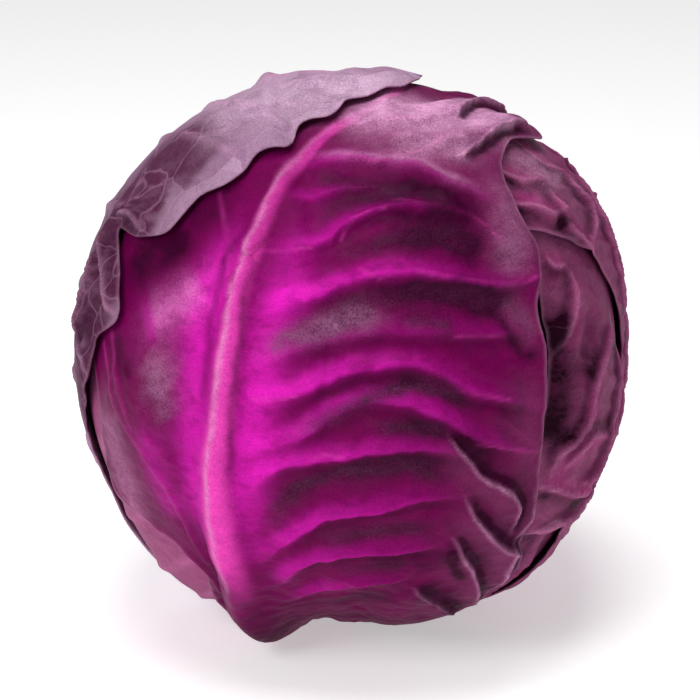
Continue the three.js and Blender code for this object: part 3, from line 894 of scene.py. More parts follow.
def rib_tree() -> bpy.types.NodeTree:
    """The geometry nodes that raise ribs on a leaf along the lines of another object."""
    tree = bpy.data.node_groups.new("raised ribs", "GeometryNodeTree")
    face = tree.interface
    face.new_socket("Geometry", in_out="INPUT", socket_type="NodeSocketGeometry")
    face.new_socket("Rib lines", in_out="INPUT", socket_type="NodeSocketObject")
    face.new_socket("Height scale", in_out="INPUT", socket_type=NUMBER).default_value = 1.0
    face.new_socket("Width scale", in_out="INPUT", socket_type=NUMBER).default_value = 1.0
    face.new_socket("Skin", in_out="INPUT", socket_type="NodeSocketMaterial")
    face.new_socket("Geometry", in_out="OUTPUT", socket_type="NodeSocketGeometry")
    n = Nodes(tree)
    source = n.add("NodeGroupInput").outputs
    lines = n.add("GeometryNodeObjectInfo", {"Object": source["Rib lines"]}, transform_space="ORIGINAL")
    near = n.add("GeometryNodeProximity", {0: lines.outputs["Geometry"]}, target_element="EDGES")
    which = n.add("GeometryNodeSampleNearest", {"Geometry": lines.outputs["Geometry"]}, domain="POINT")

    def sampled(name: str) -> bpy.types.NodeSocket:
        """A number kept on the nearest point of the rib lines."""
        read = n.add("GeometryNodeInputNamedAttribute", {"Name": name}, data_type="FLOAT")
        taken = n.add("GeometryNodeSampleIndex", data_type="FLOAT", domain="POINT")
        tree.links.new(lines.outputs["Geometry"], taken.inputs["Geometry"])
        tree.links.new(read.outputs[0], taken.inputs["Value"])
        tree.links.new(which.outputs[0], taken.inputs["Index"])
        return taken.outputs[0]

    def profile(width: bpy.types.NodeSocket, narrower: float) -> bpy.types.NodeSocket:
        """A rounded cross-section: 1 on the line, falling to 0 beyond its width."""
        share = n.math("DIVIDE", near.outputs["Distance"], n.math("MULTIPLY", width, narrower))
        return n.math("EXPONENT", n.math("MULTIPLY", n.math("MULTIPLY", share, share), -1.0))

    width = n.math("MULTIPLY", sampled("rib_width"), source["Width scale"])
    raised = n.math("MULTIPLY", profile(width, 1.0), sampled("rib_height"))
    free = n.add("GeometryNodeInputNamedAttribute", {"Name": "free"}, data_type="FLOAT").outputs[0]
    lift = n.math("MULTIPLY", n.math("MULTIPLY", raised, source["Height scale"]), free)
    at = n.add("GeometryNodeInputPosition").outputs[0]
    middle = (0.0, 0.0, MIDDLE_HEIGHT * METRE)
    outward = n.add("ShaderNodeVectorMath", {0: at, 1: middle}, operation="SUBTRACT").outputs[0]
    outward = n.add("ShaderNodeVectorMath", {0: outward}, operation="NORMALIZE").outputs[0]
    offset = n.add("ShaderNodeVectorMath", {0: outward, "Scale": lift}, operation="SCALE").outputs[0]
    moved = n.add("GeometryNodeSetPosition", {"Geometry": source["Geometry"], "Offset": offset})
    drawn = n.math("MULTIPLY", profile(width, 0.8), sampled("rib_pale"))
    shifted = {"Geometry": moved.outputs[0], "Name": "vein"}
    kept = n.add("GeometryNodeStoreNamedAttribute", shifted, domain="POINT")
    tree.links.new(drawn, kept.inputs["Value"])
    whole = n.add("GeometryNodeRealizeInstances", {"Geometry": kept.outputs[0]})
    dyed = n.add("GeometryNodeSetMaterial", {"Geometry": whole.outputs[0], "Material": source["Skin"]})
    sink = n.add("NodeGroupOutput")
    tree.links.new(dyed.outputs[0], sink.inputs[0])
    return tree


def mesh_object(name: str, points: np.ndarray, edges: list, faces: list) -> bpy.types.Object:
    """A new object in the scene from points in metres."""
    mesh = bpy.data.meshes.new(name)
    mesh.from_pydata(points, edges, faces)
    made = bpy.data.objects.new(name, mesh)
    bpy.context.scene.collection.objects.link(made)
    return made


def store(mesh: bpy.types.Mesh, name: str, values: np.ndarray) -> None:
    """Keep one number for each point of a mesh."""
    mesh.attributes.new(name, "FLOAT", "POINT").data.foreach_set("value", values.astype(np.float32))


@dataclass
class Leaf:
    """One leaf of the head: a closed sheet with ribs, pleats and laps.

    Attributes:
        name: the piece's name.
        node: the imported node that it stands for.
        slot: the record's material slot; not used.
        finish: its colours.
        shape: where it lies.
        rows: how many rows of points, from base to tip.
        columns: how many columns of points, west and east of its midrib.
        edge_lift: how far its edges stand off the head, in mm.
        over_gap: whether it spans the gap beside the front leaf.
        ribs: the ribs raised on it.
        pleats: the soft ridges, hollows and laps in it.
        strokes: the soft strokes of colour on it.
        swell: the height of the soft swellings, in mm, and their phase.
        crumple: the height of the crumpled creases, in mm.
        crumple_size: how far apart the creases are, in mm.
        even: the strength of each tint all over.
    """

    name: str
    node: str
    slot: str
    finish: LeafFinish
    shape: LeafShape
    rows: int
    columns: tuple[int, int]
    edge_lift: float
    over_gap: bool = True
    ribs: list[RibLine] = field(default_factory=list)
    pleats: list[Pleat | Lap] = field(default_factory=list)
    strokes: list[Stroke] = field(default_factory=list)
    swell: tuple[float, float] = (0.0, 0.0)
    crumple: float = 0.3
    crumple_size: float = 14.0
    even: dict[Tint, float] = field(default_factory=dict)

    def grid(self) -> tuple[np.ndarray, np.ndarray]:
        """Where the leaf's rows and columns of points lie, so that the hidden face can skip some."""
        thin = 1
        rows, west, east = (HIDDEN_STEP * (n // HIDDEN_STEP // thin) for n in (self.rows, *self.columns))
        across = np.concatenate([np.linspace(-1, 0, west + 1)[:-1], np.linspace(0, 1, east + 1)])
        return across, np.linspace(0, 1, rows + 1)

    def edge_height(self, d: np.ndarray, inside: np.ndarray) -> np.ndarray:
        """How far the leaf stands off near its edge, in mm, or below 0 where it lies closer."""
        x, y, z = d.T
        wave = np.sin(29 * (x + z)) * np.sin(25 * (y - z))
        away = smoothstep(z, -0.9, -0.6)
        lift = self.edge_lift * (1 + 0.5 * wave) * np.exp(-inside / EDGE_REACH)
        return away * (lift - EDGE_DROP * np.exp(-inside / EDGE_DROP_REACH))

    def layers(self, head: "Head", d: np.ndarray) -> tuple[np.ndarray, np.ndarray]:
        """How the other leaves shape this one.

        Args:
            head: the whole head.
            d: directions, one a row.

        Returns:
            How high the leaves below carry this one in mm, and how free it is of the ones above,
            from 0 to 1.
        """
        place = head.leaves.index(self)
        carried = np.zeros(len(d))
        free = np.ones(len(d))
        for k, other in enumerate(head.leaves):
            if k < place:
                carried += LAYER * other.shape.cover(d)
            if k > place:
                free *= 1 - other.shape.cover(d)
        return carried, free

    def lowest_face(self, d: np.ndarray) -> np.ndarray:
        """The height of the leaf's inner face along directions, if no leaf lay below it, in mm."""
        hollow = np.zeros(len(d))
        FOOT_HOLLOW.add_to(d, hollow)
        if not self.over_gap:
            SIDE_GAP.add_to(d, hollow)
        return ball_height(d) + AIR - hollow

    def creases(self, d: np.ndarray) -> np.ndarray:
        """The pattern of the leaf's crumpled creases, about -1 to 1."""
        points = d * MIDDLE_HEIGHT / self.crumple_size
        points[:, 2] *= 1.6
        sharp = octaves(points, self.shape.seed + 11, 2, ridged=True)
        soft = octaves(points * 1.7, self.shape.seed + 31, 2)
        return 0.9 * sharp + 0.3 * soft

    def relief(self, d: np.ndarray, creases: np.ndarray, crumpled: np.ndarray) -> np.ndarray:
        """The height of its pleats, laps, swellings and creases along each direction, in mm."""
        height = np.zeros(len(d))
        for pleat in self.pleats:
            pleat.add_to(d, height)
        return height + swelling(d, *self.swell) + crumpled * creases

    def tints(self, d: np.ndarray) -> dict[Tint, np.ndarray]:
        """The strength of each tint along each direction."""
        made = {tint: np.full(len(d), self.even.get(tint, 0.0)) for tint in Tint}
        for stroke in self.strokes:
            stroke.add_to(d, made[stroke.tint])
        return made

    def sheet(self, head: "Head") -> bpy.types.Object:
        """Build the leaf's two faces and its edge, without its ribs."""
        across, along = self.grid()
        d = self.shape.spots(across, along).reshape(-1, 3)
        few_across = across[np.unique(np.append(np.arange(0, len(across), COARSE_STEP), len(across) - 1))]
        few_along = along[np.unique(np.append(np.arange(0, len(along), COARSE_STEP), len(along) - 1))]
        coarse = self.shape.spots(few_across, few_along).reshape(-1, 3)
        wander = self.shape.wander_grid(few_across, few_along).ravel()
        soft = []
        for values in (*self.layers(head, coarse), wander - self.shape.past(coarse)):
            lines = values.reshape(len(few_along), len(few_across))
            wide = np.array([np.interp(across, few_across, line) for line in lines])
            soft.append(np.array([np.interp(along, few_along, line) for line in wide.T]).T.ravel())
        carried, free, inside = soft
        inside = np.maximum(inside, 0)

        loose = stirred(d, self.shape.seed + 3)
        tints = self.tints(loose)
        near_edge = 1 - CALM_EDGE * np.exp(-inside / CALM_REACH)
        crumpled = (self.crumple + tints.pop(Tint.CRUMPLE)) * near_edge
        creases = self.creases(d)
        relief = self.relief(loose, creases, crumpled)
        inner = self.lowest_face(d) + carried + free * self.edge_height(d, inside)
        lowest = (MIDDLE_HEIGHT - LEAF_FLOOR) / np.maximum(-d[:, 2], STEEPEST)
        top = np.minimum(inner + BLADE + free * relief, np.maximum(lowest, inner + BLADE))
        thickness = RIM_THICKNESS + (BLADE - RIM_THICKNESS) * (1 - np.exp(-inside / THICK_REACH))
        bottom = top - thickness - np.maximum(0, free * relief) * (1 - np.exp(-inside / BACK_REACH))

        rows, columns = len(along), len(across)
        hidden = hidden_rows(rows, columns)
        points = np.concatenate([d * top[:, None], (d * bottom[:, None])[hidden]])
        points[:, 2] += MIDDLE_HEIGHT
        made = mesh_object(self.name, points * METRE, [], sheet_faces(rows, columns))
        mesh = made.data
        marks = {tint.value: values for tint, values in tints.items()}
        strong = np.clip((crumpled - 0.5) / 1.5, 0, 1)
        # Painted highlights on the crests of strong crumpling, and painted shade in its hollows
        marks["pale"] = marks["pale"] + CREASE_LIGHT * strong * smoothstep(creases, 0.5, 0.85)
        marks["shade"] = marks["shade"] + CREASE_DARK * strong * smoothstep(-creases, -0.1, 0.4)
        marks["rim"] = RIM_LIGHT * np.exp(-((inside / RIM_REACH) ** 2))
        marks["rib"] = self.thick_rib(d)
        for key, values in marks.items():
            store(mesh, key, np.clip(np.concatenate([values, values[hidden]]), 0, 1))
        store(mesh, "free", np.concatenate([free, np.zeros(len(hidden))]))
        u, v = np.meshgrid(across, along)
        flat = np.stack([(u.ravel() + 1) / 2, v.ravel()], axis=1)
        lay_uv(mesh, np.concatenate([flat, flat[hidden]]))
        mesh.polygons.foreach_set("use_smooth", np.ones(len(mesh.polygons), dtype=bool))
        return made

    def thick_rib(self, d: np.ndarray) -> np.ndarray:
        """How much each direction lies on the thick midrib, from 0 to 1."""
        made = np.zeros(len(d))
        for rib in self.ribs[:1]:
            rows, distance, _, along = HeadCurve(rib.places).nearest(d, 3 * max(rib.width))
            fading = smoothstep(along, *FOOT_FADE) * (1 - 0.5 * smoothstep(along, *TIP_FADE))
            made[rows] = fading * np.exp(-((distance / (0.85 * ramp(rib.width, along))) ** 4))
        return made

    def rib_lines(self, head: "Head") -> bpy.types.Object:
        """The lines that the ribs are raised along, on the sheet's outer face."""
        curves = [HeadCurve(rib.places, per_span=10) for rib in self.ribs]
        d = np.concatenate([curve.samples for curve in curves])
        edges, height, width, pale = [], [], [], []
        for rib, curve in zip(self.ribs, curves):
            count, first = len(curve.samples), len(height)
            edges += [(first + i, first + i + 1) for i in range(count - 1)]
            share = np.linspace(0, 1, count)
            height += list(ramp(rib.height, share))
            width += list(ramp(rib.width, share))
            pale += [rib.vein] * count
        carried, free = self.layers(head, d)
        relief = self.relief(d, np.zeros(len(d)), np.zeros(len(d)))
        points = d * (self.lowest_face(d) + carried + BLADE + free * relief)[:, None]
        points[:, 2] += MIDDLE_HEIGHT
        made = mesh_object(self.name + "_rib_lines", points * METRE, edges, [])
        store(made.data, "rib_height", np.array(height) * METRE)
        store(made.data, "rib_width", np.array(width) * METRE)
        store(made.data, "rib_pale", np.array(pale))
        return made

    def build(self, head: "Head", ribs: bpy.types.NodeTree, skin: bpy.types.Material) -> bpy.types.Object:
        """Build the leaf as one plain mesh and hand it to the frame.

        Args:
            head: the whole head.
            ribs: the geometry nodes that raise ribs.
            skin: the leaf's material.

        Returns:
            The finished piece.
        """
        sheet = self.sheet(head)
        lines = self.rib_lines(head)
        modifier = sheet.modifiers.new("ribs", "NODES")
        modifier.node_group = ribs
        inputs = {item.name: item.identifier for item in ribs.interface.items_tree if item.in_out == "INPUT"}
        modifier[inputs["Rib lines"]] = lines
        modifier[inputs["Height scale"]] = 1.0
        modifier[inputs["Width scale"]] = 1.0
        modifier[inputs["Skin"]] = skin
        sheet.data.materials.append(skin)
        solved = sheet.evaluated_get(bpy.context.evaluated_depsgraph_get())
        plain = bpy.data.meshes.new_from_object(solved)
        sheet.modifiers.clear()
        rough_mesh = sheet.data
        sheet.data = plain
        plain.name = self.name
        bpy.data.meshes.remove(rough_mesh)
        bpy.data.objects.remove(lines)
        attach(sheet, "root")
        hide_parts(self.node)
        return sheet


def hidden_rows(rows: int, columns: int) -> np.ndarray:
    """Which points of the outer grid have one below them on the hidden face."""
    down = np.arange(0, rows, HIDDEN_STEP)
    over = np.arange(0, columns, HIDDEN_STEP)
    return (down[:, None] * columns + over[None, :]).ravel()


def grid_faces(rows: int, columns: int) -> np.ndarray:
    """The four-sided faces of a grid of points."""
    corner = (np.arange(rows - 1)[:, None] * columns + np.arange(columns - 1)[None, :]).ravel()
    return np.stack([corner, corner + 1, corner + columns + 1, corner + columns], axis=1)


def grid_border(rows: int, columns: int) -> np.ndarray:
    """The points round a grid, the first row first."""
    first, last = np.arange(columns), (rows - 1) * columns + np.arange(columns)
    west, east = np.arange(rows) * columns, np.arange(rows) * columns + columns - 1
    return np.concatenate([first[:-1], east[:-1], last[:0:-1], west[:0:-1]])


def sheet_faces(rows: int, columns: int) -> list[tuple[int, ...]]:
    """The faces of a closed sheet: a fine outer grid, a coarse hidden grid and the edge between them."""
    count = rows * columns
    few_rows, few_columns = (rows - 1) // HIDDEN_STEP + 1, (columns - 1) // HIDDEN_STEP + 1
    faces = grid_faces(rows, columns).tolist()
    faces += (grid_faces(few_rows, few_columns)[:, ::-1] + count).tolist()
    outer = grid_border(rows, columns)
    inner = grid_border(few_rows, few_columns) + count
    for i, low in enumerate(inner):
        ahead = inner[(i + 1) % len(inner)]
        fan = [outer[(HIDDEN_STEP * i + k) % len(outer)] for k in range(HIDDEN_STEP + 1)]
        faces.append((fan[0], low, fan[1]))
        faces += [(fan[k], low, fan[k + 1]) for k in range(1, HIDDEN_STEP - 1)]
        faces.append((fan[-2], low, ahead, fan[-1]))
    return faces


def lay_uv(mesh: bpy.types.Mesh, places: np.ndarray) -> None:
    """Give a mesh one flat place for each of its points."""
    corners = np.empty(len(mesh.loops), dtype=np.int64)
    mesh.loops.foreach_get("vertex_index", corners)
    layer = mesh.uv_layers.new(name="leaf")
    layer.data.foreach_set("uv", places[corners].astype(np.float32).ravel())


FRONT = LeafShape(
    stations=(
        (collar(-72), collar(-45), collar(-4)),
        ((-57, -66), (-43, -66), (30, -68)),
        ((-48, -52), (-35, -51), (46, -57)),
        ((-41, -42), (-30, -42), (47, -49)),
        ((-45, -34), (-29, -35), (43, -40)),
        ((-55, -30), (-28, -28), (40, -32)),
        ((-64, -25), (-27, -21), (41, -25)),
        ((-61, -15), (-26, -13), (39, -16)),
        ((-60, -5), (-24, -5), (38, -7)),
        ((-62, 4), (-23, 4), (39, 3)),
        ((-63, 14), (-22, 13), (38, 14)),
        ((-63, 24), (-21, 22), (39, 22)),
        ((-61, 34), (-19, 31), (37, 32)),
        ((-57, 44), (-17, 40), (39, 41)),
        ((-51, 53), (-14, 48), (50, 48)),
        ((-42, 62), (-8, 56), (70, 48)),
        ((-26, 69), (4, 63), (88, 56)),
        ((0, 75), (24, 70), (94, 64)),
        ((24, 79), (50, 75), (86, 72)),
    ),
    ragged=0.9,
    seed=1,
)
WRAPPER = LeafShape(
    stations=(
        (collar(-168), collar(-136), collar(-104)),
        ((-188, -58), (-134, -60), (-95, -58)),
        ((-198, -40), (-132, -43), (-87, -38)),
        ((-200, -26), (-132, -30), (-80, -20)),
        ((-201, -16), (-132, -20), (-70, -8)),
        ((-201, -8), (-132, -12), (-61, -1)),
        ((-200, 0), (-132, -4), (-57, 7)),
        ((-199, 8), (-132, 3), (-50, 11)),
        ((-198, 15), (-132, 10), (-52, 19)),
        ((-196, 22), (-132, 17), (-59, 28)),
        ((-194, 29), (-132, 23), (-51, 27)),
        ((-191, 35), (-132, 29), (-42, 29)),
        ((-188, 41), (-132, 35), (-37, 36)),
        ((-184, 47), (-131, 41), (-28, 41)),
        ((-179, 53), (-130, 47), (-25, 47)),
        ((-174, 58), (-128, 53), (-18, 49)),
        ((-168, 63), (-126, 59), (-17, 57)),
        ((-160, 68), (-122, 66), (-7, 60)),
        ((-150, 72), (-108, 73), (0, 67)),
        ((-150, 77), (-80, 80), (20, 70)),
        ((-150, 82), (-15, 84), (46, 72)),
        ((-180, 86), (60, 83), (80, 75)),
    ),
    ragged=1.6,
    seed=2,
)
UPPER_EAST = LeafShape(
    stations=(
        (collar(96), collar(122), collar(146)),
        ((93, -58), (122, -60), (150, -58)),
        ((90, -40), (121, -44), (152, -42)),
        ((87, -22), (121, -30), (153, -28)),
        ((82, -5), (120, -17), (154, -15)),
        ((75, 9), (119, -5), (154, -3)),
        ((66, 19), (118, 6), (154, 8)),
        ((56, 25), (117, 16), (154, 19)),
        ((47, 28), (116, 25), (153, 29)),
        ((34, 31), (115, 34), (152, 39)),
        ((26, 40), (113, 43), (150, 49)),
        ((22, 50), (111, 52), (148, 58)),
        ((24, 60), (108, 62), (145, 67)),
        ((35, 69), (104, 71), (142, 75)),
        ((60, 76), (98, 79), (138, 80)),
    ),
    ragged=1.5,
    seed=3,
)
EAST = LeafShape(
    stations=(
        (collar(78), collar(102), collar(128)),
        ((77, -62), (102, -64), (130, -62)),
        ((73, -48), (102, -52), (132, -50)),
        ((64, -35), (101, -42), (133, -40)),
        ((54, -30), (101, -33), (134, -31)),
        ((45, -33), (100, -25), (134, -22)),
        ((37, -26), (100, -17), (134, -13)),
        ((39, -15), (99, -8), (134, -4)),
        ((43, -5), (98, 1), (134, 6)),
        ((44, 6), (98, 11), (133, 16)),
        ((43, 16), (97, 21), (132, 26)),
        ((42, 25), (96, 31), (131, 36)),
        ((40, 35), (95, 41), (128, 46)),
        ((46, 45), (93, 50), (123, 54)),
        ((60, 53), (92, 58), (115, 60)),
    ),
    ragged=1.5,
    seed=4,
)
BACK = LeafShape(
    stations=(
        (collar(114), collar(142), collar(167)),
        ((109, -60), (141, -61), (186, -60)),
        ((108, -44), (140, -46), (194, -44)),
        ((107, -28), (140, -31), (198, -29)),
        ((107, -13), (139, -17), (200, -14)),
        ((107, 2), (139, -3), (200, 0)),
        ((108, 16), (138, 10), (199, 13)),
        ((108, 29), (138, 23), (197, 26)),
        ((109, 41), (138, 36), (197, 40)),
        ((111, 52), (138, 48), (201, 52)),
        ((113, 62), (141, 60), (206, 62)),
        ((104, 69), (143, 69), (214, 68)),
        ((82, 74), (146, 77), (224, 73)),
        ((50, 78), (150, 85), (238, 76)),
        ((12, 80), (-40, 87), (256, 79)),
        ((-14, 80), (-40, 80), (-72, 80)),
    ),
    ragged=1.3,
    seed=5,
)
WEST = LeafShape(
    stations=(
        (collar(-130), collar(-100), collar(-76)),
        ((-146, -60), (-101, -60), (-46, -62)),
        ((-154, -43), (-102, -43), (-26, -46)),
        ((-158, -26), (-102, -26), (-16, -30)),
        ((-160, -8), (-102, -9), (-12, -12)),
        ((-160, 10), (-102, 8), (-12, 6)),
        ((-158, 27), (-102, 25), (-15, 24)),
        ((-153, 43), (-101, 41), (-22, 40)),
        ((-144, 57), (-99, 55), (-36, 54)),
        ((-126, 67), (-96, 66), (-60, 65)),
    ),
    seed=6,
)
INNER_EAST = LeafShape(
    stations=(
        (collar(14), collar(56), collar(92)),
        ((8, -62), (57, -62), (104, -62)),
        ((4, -45), (58, -46), (111, -45)),
        ((2, -28), (58, -30), (114, -28)),
        ((3, -10), (58, -13), (115, -10)),
        ((5, 8), (57, 5), (114, 8)),
        ((10, 24), (56, 21), (110, 24)),
        ((20, 38), (54, 36), (98, 38)),
        ((36, 48), (52, 48), (76, 47)),
    ),
    seed=7,
)


def midrib(shape: LeafShape, height: tuple[float, ...], width: tuple[float, ...]) -> RibLine:
    """The thick rib down the middle of a leaf."""
    return RibLine(tuple(station[1] for station in shape.stations), height, width, vein=0.0)


@dataclass(frozen=True)
class Ridge:
    """A ridge of the front leaf, with painted light above its crest and painted shade below it.

    Attributes:
        places: the places along its crest, from west to east.
        height: how far it stands up, in mm.
        width: half of its width, in mm.
        glow: how bright its magenta is above its crest: the leaf's own colour, and painted light on the flank
            that faces up.
        shade: how much shade is painted below its crest.
    """

    places: tuple[Place, ...]
    height: float
    width: float
    glow: float
    shade: float = 0.5

    def pleat(self) -> Pleat:
        """Its form."""
        return Pleat(self.places, self.height, self.width, steep=2.2, crisp=0.4)

    def strokes(self) -> list[Stroke]:
        """Its colours: painted light above and on its crest, and painted shade below it."""
        half = self.width
        return [
            Stroke(Tint.GLOW, self.places, 0.8 * half, self.glow, (1.1, 1, 0.6, 0.25, 0.1), shift=0.5 * half),
            Stroke(Tint.GLOW, self.places, 0.8, 0.5 * self.glow, (0.4, 1, 0.5)),
            Stroke(Tint.SHADE, self.places, 0.7 * half, self.shade, (0.1, 0.6, 1, 1), shift=-0.9 * half),
        ]


FRONT_RIDGES = (
    Ridge(((-10, 52), (-2, 58), (10, 57), (29, 57), (45, 58)), 2.2, 3.4, 0.1, 0.2),
    Ridge(((2, 53), (17, 52), (31, 49), (43, 49)), 2.0, 3.2, 0.05, 0.3),
    Ridge(((-16, 46), (-5, 47), (2, 47), (12, 45), (20, 41), (28, 37), (33, 33)), 2.6, 3.2, 0.35, 0.55),
    Ridge(((-14, 37), (-8, 38), (-1, 40), (6, 40)), 1.3, 2.6, 0.3, 0.3),
    Ridge(((-14, 26), (-6, 28), (0, 33), (6, 35), (15, 35), (27, 33)), 2.3, 3.0, 0.4, 0.6),
    Ridge(((-18, 14), (-9, 17), (-1, 20), (10, 22), (18, 21), (28, 19), (39, 20)), 2.8, 3.4, 0.7, 0.6),
    Ridge(((-18, 4), (-10, 8), (1, 11), (17, 11), (31, 10), (38, 9)), 1.8, 3.0, 0.25, 0.3),
    Ridge(((-19, -2), (-10, 0), (-4, 3), (3, 5), (12, 5), (23, 0), (38, -4)), 2.9, 3.1, 0.75, 0.6),
    Ridge(((-20, -11), (-10, -8), (0, -2), (8, -1), (18, -5), (25, -9), (36, -12)), 2.8, 3.0, 0.7, 0.6),
    Ridge(((-20, -19), (-12, -13), (-1, -11), (12, -10), (22, -11)), 2.6, 2.9, 0.7, 0.6),
    Ridge(((-21, -35), (-11, -28), (-4, -24), (5, -22), (13, -20), (22, -20)), 2.8, 3.0, 0.6, 0.6),
    Ridge(((-20, -43), (-12, -37), (0, -33), (11, -32), (20, -30)), 2.5, 3.0, 0.5, 0.55),
    Ridge(((-18, -50), (-5, -45), (5, -42), (13, -40)), 2.2, 3.0, 0.35, 0.45),
)
# The dark valleys between them, with shade painted in: places, half-width, strength of the painted shade, and
# bloom
FRONT_VALLEYS = (
    (((-9, 43), (-1, 41), (7, 40), (14, 39)), 3.0, 0.5, 0.1),
    (((-8, 32), (-2, 36), (6, 38), (16, 37), (24, 34)), 2.8, 0.7, 0.06),
    (((-4, 28), (1, 27), (8, 28), (19, 29), (27, 26)), 3.2, 0.8, 0.1),
    (((-4, 15), (4, 17), (13, 18), (24, 17), (31, 14)), 3.0, 1.0, 0.1),
    (((-16, 7), (-11, 10), (-5, 12), (0, 14), (6, 14)), 3.0, 0.75, 0.8),
    (((8, 14), (14, 13), (20, 12)), 2.6, 0.7, 0.15),
    (((-12, -8), (-6, -5), (0, -2), (8, 1), (16, 1), (22, -3)), 2.2, 0.9, 0.2),
    (((2, -6), (11, -6), (18, -7)), 2.2, 0.9, 0.15),
    (((-17, -29), (-14, -22), (-8, -17), (3, -14), (13, -14), (20, -16)), 3.0, 1.0, 0.15),
    (((-8, -31), (2, -28), (10, -27), (18, -27)), 2.6, 0.8, 0.15),
    (((-4, -39), (6, -37), (14, -35)), 2.6, 0.7, 0.1),
    (((-18, -51), (-8, -54), (4, -52), (12, -46)), 4.0, 0.8, 0.1),
)
FRONT_WEST_VEINS = (
    ((-37, -38), (-38, -30), (-40, -21), (-45, -14), (-49, -9), (-53, -3), (-57, 6)),
    ((-40, -48), (-40, -40), (-47, -33), (-53, -29), (-60, -25)),
    ((-24, 18), (-25, 24), (-27, 29), (-33, 38)),
    ((-54, 8), (-50, -2), (-47, -10)),
)
# Thin lines along crests, raised a little and drawn pale: painted highlights
FRONT_CREST_LINES = (
    ((-2, 29), (-1, 31), (2, 34), (8, 35)),
    ((2, 23), (5, 21), (9, 22)),
    ((-18, -1), (-14, -1), (-9, 0)),
    ((-9, -13), (-5, -11), (-1, -11)),
    ((-22, 24), (-18, 26), (-13, 26), (-8, 27)),
    ((10, 37), (18, 35), (27, 32), (32, 27)),
    ((8, 1), (15, 1), (22, 0), (30, -2)),
    ((-7, 58), (4, 60), (16, 57), (29, 57)),
    ((-1, 48), (8, 46), (20, 48), (33, 51)),
    ((13, 22), (18, 21), (24, 20), (31, 19), (35, 19), (39, 20)),
    ((19, 10), (25, 10), (31, 10)),
    ((24, -10), (30, -11), (37, -12)),
)
# The overlapping folds low on its east side, each with its flap to the left of its way
FLAP_HIGH = ((36, -29), (35, -23), (33, -20), (27, -17), (22, -12), (18, -7))
FLAP_MIDDLE = ((46, -50), (42, -42), (41, -34), (34, -31), (27, -26), (23, -20))
FLAP_LOW = ((48, -55), (38, -47), (33, -41), (26, -34), (22, -29))
FLAP_LOWEST = ((39, -55), (28, -50), (17, -44))
STRIP = ((46, -48), (38, -31), (40, -27), (39, -20))
# The two laps near its top, each with a deep shadow under it
TOP_LAPS = (
    ((38, 56), (44, 58), (62, 62), (72, 60), (88, 56)),
    ((28, 45), (35, 46), (41, 48), (50, 50), (57, 51), (64, 49)),
)
LOW_FLAPS = (
    (FLAP_HIGH, 2.4, 7.0),
    (FLAP_MIDDLE, 3.0, 8.0),
    (FLAP_LOW, 2.8, 8.0),
    (FLAP_LOWEST, 2.2, 7.0),
    (STRIP, 1.6, 4.0),
)
FRONT_FOLDS = (
    (((18, 6), (22, 4), (28, 2), (33, 0)), 1.6, 2.4),
    (((24, -3), (29, -5), (33, -8), (38, -11)), 2.0, 2.2),
    (((32, 10), (34, 8), (39, 7)), 1.4, 1.4),
    (((28, 36), (33, 30), (37, 24), (38, 17)), 1.6, 3.0),
)
# The shaded side of its foot
FRONT_FOOT = ((-40, -70), (-32, -60), (-28, -50), (-26, -42), (-25, -32))
FRONT_RIB = tuple(station[1] for station in FRONT.stations)
BESIDE_RIB = ((-25, -40), (-22, -26), (-20, -15), (-18, -5), (-16, 4), (-14, 12), (-12, 21), (-9, 34))
WEST_OF_RIB = ((-32, -34), (-31, -22), (-30, -8), (-29, 2), (-28, 12), (-26, 22), (-24, 32))
